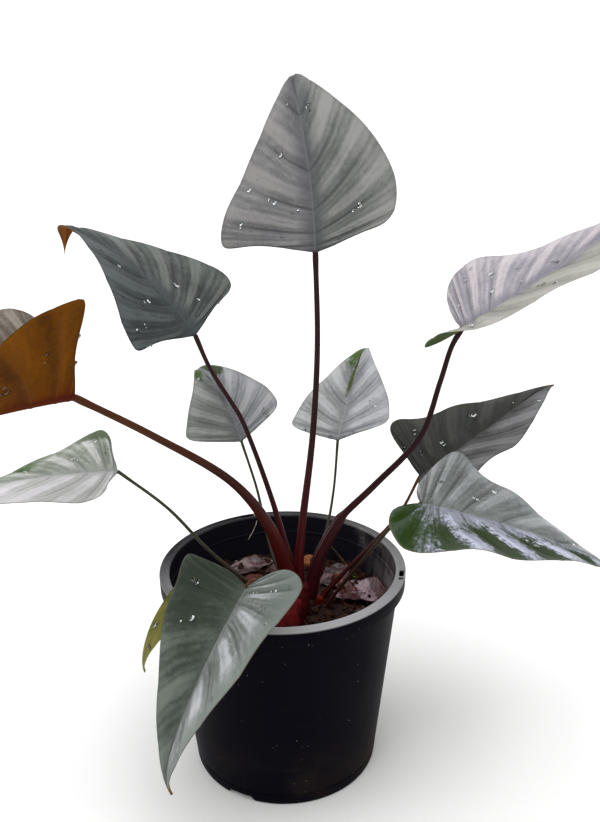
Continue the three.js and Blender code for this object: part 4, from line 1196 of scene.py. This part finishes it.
def block(corners, depth):
    """A prism from a flat outline of places and the way it is pushed."""
    near = [np.array(corner, float) for corner in corners]
    points = near + [corner + np.array(depth, float) for corner in near]
    count = len(near)
    faces = [tuple(range(count))[::-1], tuple(range(count, 2 * count))]
    for i in range(count):
        after = (i + 1) % count
        faces.append((i, after, after + count, i + count))
    return points, faces


def turned_by(part, degrees):
    """Points and faces turned about the upright axis."""
    turn = np.array(Matrix.Rotation(math.radians(degrees), 3, "Z"))
    return [turn @ point for point in part[0]], part[1]


def pot_cutters():
    """Blocks that cut the hanger slots and the drain notches."""
    parts = []
    z = POT.height - SLOT.depth
    near, far = (SLOT.radius + SLOT.width * side for side in (-0.5, 0.5))
    for i in range(SLOT.count):
        for length, shift in ((SLOT.length, 0), (SLOT.short, -SLOT.spacing)):
            left, right = shift - length / 2, shift + length / 2
            corners = [(near, left, z), (far, left, z), (far, right, z), (near, right, z)]
            cut = block(corners, (0, 0, SLOT.cut))
            parts.append(turned_by(cut, SLOT.heading + 360 / SLOT.count * i))
    foot, top, below = NOTCH.foot / 2 + NOTCH.below, NOTCH.top / 2, -NOTCH.below
    outline = ((-foot, below), (foot, below), (top, NOTCH.height), (-top, NOTCH.height))
    for i in range(NOTCH.count):
        corners = [(NOTCH.inner, y, h) for y, h in outline]
        push = (POT.rim - NOTCH.inner, 0, 0)
        parts.append(turned_by(block(corners, push), NOTCH.heading + 360 / NOTCH.count * i))
    return merged(parts)


def slot_webs():
    """The web that closes the hollow rim under each hanger slot, with a wall at each of its ends."""
    parts = []
    foot = POT.height - POT.skirt_drop + WEB.above
    inner, outer = POT.neck - WEB.overlap, POT.rim - POT.skirt + WEB.overlap
    steps, half = WEB.steps, WEB.thick / 2
    outline = []
    for radius, order in ((inner, 1), (outer, -1)):
        for k in range(steps)[::order]:
            angle = math.radians(WEB.centre + WEB.span * (k / (steps - 1) - 0.5))
            outline.append((radius * math.cos(angle), radius * math.sin(angle), foot))
    group = [block(outline, (0, 0, WEB.thick))]
    for side in (-0.5, 0.5):
        turn = Matrix.Rotation(math.radians(WEB.centre + WEB.span * side), 3, "Z")
        ends = ((inner, -half), (outer, -half), (outer, half), (inner, half))
        corners = [turn @ Vector((radius, y, foot)) for radius, y in ends]
        group.append(block(corners, (0, 0, POT.height - POT.flange + 0.5 - foot)))
    for i in range(SLOT.count):
        parts += [turned_by(part, SLOT.heading + 360 / SLOT.count * i) for part in group]
    return merged(parts)


def build_pot(settings):
    """The pot with its slots and notches cut out, and the webs under the slots."""
    points, faces = turned(pot_profile(), settings.sides)
    pot = add_piece("nursery_pot", points, faces, [plastic_finish(settings)])
    cutter = add_piece("pot_cutter", *pot_cutters(), [])
    for mesh in (pot.data, cutter.data):
        tidy = bmesh.new()
        tidy.from_mesh(mesh)
        bmesh.ops.recalc_face_normals(tidy, faces=tidy.faces)
        tidy.to_mesh(mesh)
        tidy.free()
    cut = pot.modifiers.new("slots and notches", "BOOLEAN")
    cut.operation, cut.solver, cut.object = "DIFFERENCE", "EXACT", cutter
    shaped = bpy.data.meshes.new_from_object(pot.evaluated_get(bpy.context.evaluated_depsgraph_get()))
    pot.modifiers.clear()
    pot.data = shaped
    bpy.data.objects.remove(cutter)
    shaped.set_sharp_from_angle(angle=math.radians(POT.sharp_angle))
    settle(pot, "pot")
    settle(add_piece("slot_webs", *slot_webs(), [pot.data.materials[0]]), "pot")


# Soil


def build_soil(settings):
    """The potting mix, and the crumbs, perlite, moss and root fibres on it."""
    rings, sides = SOIL.rings, SOIL.sides
    top = SOIL.level - SOIL.dip
    edge = wall_radius(top) - POT.wall - SOIL.gap
    points = [(0, 0, float(soil_height(0, 0)))]
    for ring in range(1, rings + 1):
        radius = edge * ring / rings
        for i in range(sides):
            angle = 2 * math.pi * i / sides
            x, y = radius * math.cos(angle), radius * math.sin(angle)
            rough = noise.fractal(Vector((x, y, 3)) / SOIL.clod_size, 1, 2.1, 4) * SOIL.clod
            pits = max(0, noise.noise(Vector((x, y, 40)) / SOIL.pit_size)) * SOIL.pit
            points.append((x, y, float(soil_height(x, y)) + rough - pits))
    low = POT.floor + POT.corner
    low_radius = wall_radius(low) - POT.wall - SOIL.gap
    for radius, z in ((low_radius, low + 1), (low_radius - 3, POT.floor + SOIL.gap)):
        points += [(radius * math.cos(2 * math.pi * i / sides), radius * math.sin(2 * math.pi * i / sides), z)
                   for i in range(sides)]
    points.append((0, 0, POT.floor + SOIL.gap))
    faces = []
    for i in range(sides):
        after = (i + 1) % sides
        faces.append((0, 1 + i, 1 + after))
        for ring in range(rings + 1):
            a, b = 1 + ring * sides + i, 1 + ring * sides + after
            faces.append((a, a + sides, b + sides, b))
        last = 1 + (rings + 1) * sides
        faces.append((last + i, last + sides, last + after))
    mix = soil_finish("potting_mix", settings.dark, settings.light)
    settle(add_piece("potting_mix", points, faces, [mix]), "soil")
    rng = random.Random(11)

    def spot(reach):
        radius, angle = edge * reach * math.sqrt(rng.random()), rng.uniform(0, 2 * math.pi)
        x, y = radius * math.cos(angle), radius * math.sin(angle)
        return x, y, float(soil_height(x, y))

    template = ball(2)
    crumbs = []
    for _ in range(settings.crumbs):
        radius = rng.choice(CRUMB.radii)
        x, y, z = spot(CRUMB.reach)
        crumbs.append(lump(template, (x, y, z + CRUMB.lift * radius), radius, rng))
    loose = soil_finish("loose_bark", 0x150908, 0x35190f, 0.7)
    settle(add_piece("crumbs", *merged(crumbs), [loose]), slot="potting_mix")
    specks = []
    for _ in range(settings.specks):
        x, y, z = spot(SPECK.reach)
        specks.append(lump(template, (x, y, z + SPECK.lift), rng.uniform(*SPECK.radius), rng, SPECK.rough))
    white = plain_finish("perlite", (0.62, 0.6, 0.56), (0.42, 0.39, 0.35), 600, 0.8)
    settle(add_piece("perlite", *merged(specks), [white]))
    tufts = []
    for x, y in MOSS:
        for _ in range(TUFT.count):
            px, py = x + rng.gauss(0, TUFT.spread), y + rng.gauss(0, TUFT.spread)
            centre = (px, py, float(soil_height(px, py)) + TUFT.lift)
            tufts.append(lump(template, centre, rng.uniform(*TUFT.radius), rng, TUFT.rough))
    moss = plain_finish("moss_skin", 0x6f8f1c, 0x35500c, 500, 0.7)
    settle(add_piece("moss", *merged(tufts), [moss]))
    fibres = []
    for _ in range(settings.fibres):
        x, y, _ = spot(FIBRE.reach)
        heading, length = rng.uniform(*ANY_HEADING), rng.uniform(*FIBRE.length)
        bend = rng.uniform(*FIBRE.bend)
        line = []
        for share in FIBRE.stations:
            u = (share - 0.5) * length
            v = bend * math.sin(math.pi * share) + rng.uniform(*FIBRE.waver)
            px = x + u * math.cos(heading) - v * math.sin(heading)
            py = y + u * math.sin(heading) + v * math.cos(heading)
            pz = float(soil_height(px, py)) + rng.uniform(*FIBRE.lift)
            line.append((px, py, pz, rng.uniform(*FIBRE.radius)))
        fibres.append(tube(line, step=2, sides=6)[:2])
    root = plain_finish("root_fibre", 0x6b4a34, 0x2c1a13, 300, 0.7)
    settle(add_piece("root_fibres", *merged(fibres), [root]), slot="potting_mix")


# Fallen matter


def dry_leaf_piece(name, at, heading, length, half, edge_curl, tip_curl):
    """A dried leaf that follows the soil, with ragged and curled edges."""
    rows, columns, end_share = DRY_LEAF.rows, DRY_LEAF.columns, DRY_LEAF.end
    turn = math.radians(heading)
    along = np.linspace(-end_share, end_share, rows)[:, None] * np.ones((1, columns))
    across = np.linspace(-1, 1, columns)[None, :] * np.ones((rows, 1))
    end = np.sqrt(1 - np.abs(along) ** DRY_LEAF.bluntness)
    width = half * end * (1 + DRY_LEAF.ripple * np.sin(5 * along))
    ragged = np.array([
        noise.noise(Vector((a * 3.1, c * 0.7, half))) for a, c in zip(along.ravel(), across.ravel())])
    width = width * (1 + DRY_LEAF.ragged * ragged.reshape(rows, columns) * np.abs(across))
    u, v = along * length / 2, across * width
    x = at[0] + u * math.cos(turn) - v * math.sin(turn)
    y = at[1] + u * math.sin(turn) + v * math.cos(turn)
    edge = edge_curl * (v / half) ** 2 * lerp(DRY_LEAF.stem_curl, 1, (along + 1) / 2)
    tip = tip_curl * np.clip(along, 0, 1) ** 3
    folds = DRY_LEAF.fold * np.sin(across * 9 + along * 4) * np.abs(across)
    folds = folds + DRY_LEAF.crease * np.sin(along * 13 + across * 3)
    z = soil_height(x, y) + DRY_LEAF.lift + edge + tip + folds
    middle = np.stack([x, y, z], axis=-1)
    normal = np.cross(np.gradient(middle, axis=0), np.gradient(middle, axis=1))
    normal /= np.linalg.norm(normal, axis=-1, keepdims=True)
    body = np.sqrt(np.clip(1 - np.abs(across) ** 8, 0, 1))
    body = body * np.sqrt(np.clip(1 - np.abs(along / end_share) ** 16, 0, 1))
    lift = DRY_LEAF.thickness / 2 * body[..., None] * normal
    points = np.concatenate([(middle + lift).reshape(-1, 3), (middle - lift).reshape(-1, 3)])
    faces = np.concatenate([
        grid_faces(rows, columns, 0, flip=True), grid_faces(rows, columns, rows * columns)])
    values = {"along": np.tile(along.ravel(), 2), "across": np.tile(across.ravel(), 2)}
    finish = dry_leaf_finish(name + "_skin", *DRY_TINTS[name])
    thing = add_piece(name + "_fine", points, faces, [finish], values=values, weld=WELD)
    nodes = [name] if name in SLOTS else []
    settle(thing, *nodes, slot="dried_leaf")


def chip_piece(name, at, heading, size):
    """A bark chip with torn layers."""
    mesh = bmesh.new()
    bmesh.ops.create_cube(mesh, size=1)
    bmesh.ops.subdivide_edges(mesh, edges=mesh.edges, cuts=CHIP.cuts, use_grid_fill=True)
    turn = Matrix.Rotation(math.radians(heading), 3, "Z")
    long, wide, tall = size
    base = float(soil_height(at[0], at[1])) + tall / 2 - CHIP.sink
    points = []
    for vertex in mesh.verts:
        p = vertex.co.copy()
        reach = max(abs(p.x), abs(p.y), abs(p.z))
        p = p.lerp(p.normalized() * (reach + CHIP.crown), CHIP.rounding)
        p.z *= 1 + CHIP.taller * math.sin(9 * p.x + 2)
        p.y *= 1 + CHIP.wider * math.sin(7 * p.x - 1)
        layers = CHIP.layer * math.sin(26 * p.z + 3 * noise.noise(p * 4))
        dents = CHIP.dent * noise.fractal(p * 3.3 + Vector((long, 0, 0)), 1, 2, 4)
        p *= 1 + layers + dents
        p = turn @ Vector((p.x * long, p.y * wide, p.z * tall))
        points.append((p.x + at[0], p.y + at[1], p.z + base))
    faces = [tuple(vertex.index for vertex in face.verts) for face in mesh.faces]
    mesh.free()
    finish = plain_finish(name + "_skin", *CHIP_TINTS[name], 150, 0.75, 0.0012)
    settle(add_piece(name + "_fine", points, faces, [finish]), name)


def knots(angle, share, run):
    """Knots along the twig."""
    lumps = noise.noise(Vector((math.cos(angle), math.sin(angle), run * KNOTS.lump_rate)))
    return 1 + KNOTS.lump * lumps + KNOTS.ring * math.sin(run * KNOTS.ring_rate)


def build_litter():
    """The dried leaves and scraps, the bark chips, the twig and the root hair."""
    for name, form in (*DRY_LEAVES.items(), *SCRAPS.items()):
        dry_leaf_piece(name, **form)
    for name, form in CHIPS.items():
        chip_piece(name, **form)
    points, faces, values = tube(TWIG, step=0.8, sides=14, shape=knots)
    bark = plain_finish("twig_skin", 0x241610, 0x4f3526, 260, 0.8, 0.0006)
    settle(add_piece("twig_fine", points, faces, [bark], values=values), "twig")
    points, faces, values = tube(ROOT_HAIR, step=0.8, sides=7)
    pale = plain_finish("root_hair_skin", 0xe6e0d2, 0xc9bfa8, 300, 0.6)
    settle(add_piece("root_hair", points, faces, [pale], values=values))


# Stem and stalks


def hump(distance, width):
    """1 in the middle of a soft ridge, and near 0 past its width."""
    return math.exp(-(distance / width) ** 2)


def wrapped(angle, share, run):
    """Overlapping leaf bases round a stem."""
    laps = sum(height * hump(angle - place, width) for height, place, width in LAPS)
    rings = STEM_SKIN.ring * math.sin(run * STEM_SKIN.ring_rate)
    around = STEM_SKIN.dents_round
    dents = noise.noise(Vector((
        math.cos(angle) * around, math.sin(angle) * around, run * STEM_SKIN.dent_rate)))
    return 1 + laps + rings + STEM_SKIN.dent * dents


def torn(angle, share, run):
    """A thin sheath, more ragged towards its upper edge."""
    tears = noise.noise(Vector((angle * TEARS.tears_round, run * TEARS.tear_rate, TEARS.seed)))
    crimps = math.sin(angle * TEARS.crimps + run * TEARS.crimp_rate)
    return 1 + (TEARS.tear * tears + TEARS.crimp * crimps) * lerp(TEARS.foot, 1, share)


def build_stems():
    """The stem, the side shoot and the papery sheath at the stem's foot."""
    red = stalk_finish("stem_skin", 0x480a0e, 0x42090c, 0x34070a, 0.5)
    young = stalk_finish("shoot_skin", 0x6a1210, 0x9c2418, 0xb84a34, 0.45)
    for name, stations, skin in (("stem", STEM, red), ("side_shoot", SIDE_SHOOT, young)):
        points, faces, values = tube(stations, step=1.2, sides=40, shape=wrapped)
        settle(add_piece(name + "_fine", points, faces, [skin], values=values), name)
    paper = stalk_finish("sheath_skin", 0x6c1a1c, 0x7c2024, 0x8c3434, 0.6)
    points, faces, values = tube(PAPERY_SHEATH, step=1.0, sides=56, shape=torn)
    settle(add_piece("papery_sheath_fine", points, faces, [paper], values=values), "papery_sheath")


# Length of the sheath at a stalk's foot, and the stalks' shades at the foot, the middle and the blade
SHEATHS = dict(a=42, b=36, c=70, e=75, f=48, j=24)
STALK_SHADES = {
    "maroon": (0x4c0b10, 0x280c10, 0x2c1618),
    "brown": (0x4c0c0e, 0x35160f, 0x4c2a14),
    "olive": (0x3b2f26, 0x36352a, 0x3c3d2e),
    "pale": (0x4a1e1a, 0x3a2c24, 0x3f402f),
    "dark": (0x360b10, 0x230b10, 0x2c1618),
    "wan": (0x8b8a5c, 0xa5a678, 0x8f8f58),
}
STALK_KINDS = dict(
    a="maroon", b="maroon", c="brown", d="olive", e="dark", f="brown", g="pale", h="olive", i="olive",
    j="brown", k="wan")


def stalk_section(length, sheath):
    """How a stalk's radius varies round it and along it, for its length and its sheath's length."""

    def section(angle, share, run):
        foot = length - run
        lips = 0
        if sheath:
            on = float(smoothstep(sheath + LIPS.above, sheath - LIPS.below, foot))
            ridge = LIPS.height * hump(abs(angle) - LIPS.angle, LIPS.width)
            lips = on * (ridge - LIPS.hollow * hump(angle, LIPS.hollow_width))
        knuckle = KNUCKLE.height * hump(run - KNUCKLE.place, KNUCKLE.reach)
        return 1 - CHANNEL.depth * hump(angle, CHANNEL.width) + lips + knuckle

    return section


def build_stalks():
    """The eleven leaf stalks, with the sheaths at their feet."""
    skins = {kind: stalk_finish(f"stalk_{kind}", *shades) for kind, shades in STALK_SHADES.items()}
    for key, stations in STALKS.items():
        length = sum(math.dist(a[:3], b[:3]) for a, b in zip(stations, stations[1:]))
        top, foot = np.array(stations[0][:3], float), np.array(stations[-1][:3], float)
        points, faces, values = tube(
            stations, step=1.8, sides=28, shape=stalk_section(length, SHEATHS.get(key, 0)),
            inner=(foot - top) * (1, 1, 0))
        stalk = add_piece(f"stalk_{key}_fine", points, faces, [skins[STALK_KINDS[key]]], values=values)
        settle(stalk, f"stalk_{key}")


# Blades and drops


BLADES = {}


def build_blades(settings):
    """The eleven blades. Their halves are kept for the drops."""
    size = BladeSize(
        settings.thickness / MM, settings.pleat, settings.groove / MM, settings.rib_width / MM,
        settings.rib_depth / MM)
    for key, leaf in LEAVES.items():
        look = LOOKS[key]
        finishes = [leaf_above(key, look), leaf_below(key, look)]
        small = leaf.length / RIB_BLADE
        fit = size._replace(rib_width=size.rib_width * small, rib_depth=size.rib_depth * small)
        blade, BLADES[key] = blade_piece(f"blade_{key}_fine", leaf, fit, look.corner, finishes)
        settle(blade, f"blade_{key}")


def drop(centre, normal, radius, rng):
    """A closed bead of water that sits flat on a blade."""
    rings, sides = DROP.rings, DROP.sides
    normal = Vector(normal)
    across = normal.orthogonal().normalized()
    other = normal.cross(across)
    tall = radius * rng.uniform(*DROP.height)
    long = rng.uniform(*DROP.length)
    points = []
    for ring in range(rings + 1):
        angle = math.radians(lerp(*DROP.arc, ring / rings))
        for k in range(sides):
            turn = 2 * math.pi * k / sides
            out = radius * math.sin(angle)
            flat = across * out * long * math.cos(turn) + other * out * math.sin(turn)
            points.append(Vector(centre) + flat + normal * tall * math.cos(angle))
    points = [tuple(p) for p in points]
    points.append(tuple(Vector(centre) + normal * tall))
    faces = ring_faces(rings + 1, sides)
    faces.append(tuple(range(sides))[::-1])
    last = rings * sides
    faces += [(last + k, last + (k + 1) % sides, len(points) - 1) for k in range(sides)]
    return points, faces


def build_drops(settings):
    """Water drops on every blade, alone and in little clusters."""
    water = water_finish()
    for key, leaf in LEAVES.items():
        rng = random.Random(f"drops {key}")
        half_thick = settings.thickness / MM / 2
        count = round(settings.droplets * (leaf.length / DROP.blade) ** 2)
        drops = []
        for number in range(count):
            if number % 2 == 1 or number % 12 == 2:
                around = min(around + rng.uniform(*DROP.next_around), DROP.around[1])
                out = min(max(out + rng.uniform(*DROP.next_out), DROP.out[0]), DROP.out[1])
            else:
                side, around = rng.choice((0, 1)), rng.uniform(*DROP.around)
                out = rng.uniform(*DROP.first_out)
            place, normal = leaf_place(BLADES[key], side, around, out, half_thick)
            drops.append(drop(place, normal, rng.choice(DROP.radii), rng))
        settle(add_piece(f"drops_{key}", *merged(drops), [water]))


# Stage


def build_stage(settings):
    """The floor, the room, the lamps and the camera."""
    square = ((-1, -1), (1, -1), (1, 1), (-1, 1))
    corners = [(x * FLOOR_REACH, y * FLOOR_REACH, -FLOOR_DROP) for x, y in square]
    floor = add_piece("floor", corners, [(0, 1, 2, 3)], [floor_finish(settings)])
    world = bpy.data.worlds.new("room")
    world.use_nodes = True
    nodes, links = world.node_tree.nodes, world.node_tree.links
    room = nodes["Background"]
    room.inputs["Color"].default_value = (1, 1, 1, 1)
    room.inputs["Strength"].default_value = settings.sky
    wall = nodes.new("ShaderNodeBackground")
    wall.inputs["Color"].default_value = (1, 1, 1, 1)
    wall.inputs["Strength"].default_value = WALL_LIGHT
    seen, either = nodes.new("ShaderNodeLightPath"), nodes.new("ShaderNodeMixShader")
    links.new(seen.outputs["Is Camera Ray"], either.inputs["Fac"])
    links.new(room.outputs[0], either.inputs[1])
    links.new(wall.outputs[0], either.inputs[2])
    links.new(either.outputs[0], nodes["World Output"].inputs["Surface"])
    bpy.context.scene.world = world
    for name, place, spread, share in LAMPS:
        lamp = bpy.data.lights.new(name, "SUN")
        lamp.angle, lamp.energy = math.radians(spread), settings.key * share
        thing = bpy.data.objects.new(name, lamp)
        thing.rotation_euler = (-Vector(place)).to_track_quat("-Z", "Y").to_euler()
        bpy.context.scene.collection.objects.link(thing)
    view = bpy.data.cameras.new("camera")
    view.sensor_width = SENSOR
    view.lens = FOCAL_PIXELS / PICTURE_HEIGHT * SENSOR
    camera = bpy.data.objects.new("camera", view)
    camera.location = Vector(CAMERA_PLACE) * MM
    pitch = Matrix.Rotation(math.radians(90 - CAMERA_PITCH), 3, "X")
    roll = Matrix.Rotation(math.radians(CAMERA_ROLL), 3, "Z")
    camera.rotation_euler = (pitch @ roll).to_euler()
    bpy.context.scene.collection.objects.link(camera)
    bpy.context.scene.camera = camera
    bpy.context.scene.view_settings.view_transform = "Standard"


# Add-on


class PlantOperator:
    """What the build operators share."""
    bl_options = {"REGISTER", "UNDO"}


class PLANT_OT_pot(PlantOperator, bpy.types.Operator):
    """Build the nursery pot with its rim, slots and notches"""
    bl_idname = "plant.pot"
    bl_label = "Pot"

    def execute(self, context):
        build_pot(context.scene.plant_pot)
        return {"FINISHED"}


class PLANT_OT_soil(PlantOperator, bpy.types.Operator):
    """Build the potting mix with crumbs, perlite and fibres"""
    bl_idname = "plant.soil"
    bl_label = "Soil"

    def execute(self, context):
        build_soil(context.scene.plant_soil)
        return {"FINISHED"}


class PLANT_OT_litter(PlantOperator, bpy.types.Operator):
    """Build the dried leaves, bark chips, twig and root hair"""
    bl_idname = "plant.litter"
    bl_label = "Fallen leaves and bark"

    def execute(self, context):
        build_litter()
        return {"FINISHED"}


class PLANT_OT_stems(PlantOperator, bpy.types.Operator):
    """Build the stem, the side shoot and the papery sheath"""
    bl_idname = "plant.stems"
    bl_label = "Stems"

    def execute(self, context):
        build_stems()
        return {"FINISHED"}


class PLANT_OT_stalks(PlantOperator, bpy.types.Operator):
    """Build the eleven leaf stalks"""
    bl_idname = "plant.stalks"
    bl_label = "Leaf stalks"

    def execute(self, context):
        build_stalks()
        return {"FINISHED"}


class PLANT_OT_blades(PlantOperator, bpy.types.Operator):
    """Build the eleven blades with their veins, and the water drops on them"""
    bl_idname = "plant.blades"
    bl_label = "Blades"

    def execute(self, context):
        build_blades(context.scene.plant_leaves)
        build_drops(context.scene.plant_leaves)
        return {"FINISHED"}


class PLANT_OT_stage(PlantOperator, bpy.types.Operator):
    """Build the floor, the lights and the camera"""
    bl_idname = "plant.stage"
    bl_label = "Stage"

    def execute(self, context):
        build_stage(context.scene.plant_stage)
        return {"FINISHED"}


OPERATORS = (
    PLANT_OT_pot, PLANT_OT_soil, PLANT_OT_litter, PLANT_OT_stems, PLANT_OT_stalks, PLANT_OT_blades,
    PLANT_OT_stage,
)
GROUPS = {
    "plant_pot": PLANT_PG_pot, "plant_soil": PLANT_PG_soil, "plant_leaves": PLANT_PG_leaves,
    "plant_stage": PLANT_PG_stage,
}


class PLANT_PT_panel(bpy.types.Panel):
    """Sidebar panel with the sizes, the colours and the build buttons"""
    bl_idname = "PLANT_PT_panel"
    bl_label = "Potted homalomena"
    bl_space_type = "VIEW_3D"
    bl_region_type = "UI"
    bl_category = "Plant"

    def draw(self, context):
        for operator in OPERATORS:
            self.layout.operator(operator.bl_idname)
        for key in GROUPS:
            box = self.layout.box()
            group = getattr(context.scene, key)
            for name in group.bl_rna.properties.keys():
                if name not in ("rna_type", "name"):
                    box.prop(group, name)


CLASSES = (*GROUPS.values(), *OPERATORS, PLANT_PT_panel)


def register():
    for item in CLASSES:
        bpy.utils.register_class(item)
    for key, group in GROUPS.items():
        setattr(bpy.types.Scene, key, bpy.props.PointerProperty(type=group))


def unregister():
    for key in GROUPS:
        delattr(bpy.types.Scene, key)
    for item in reversed(CLASSES):
        bpy.utils.unregister_class(item)


def main():
    register()
    for operator in OPERATORS:
        family, name = operator.bl_idname.split(".")
        getattr(getattr(bpy.ops, family), name)()


if __name__ == "__main__":
    main()
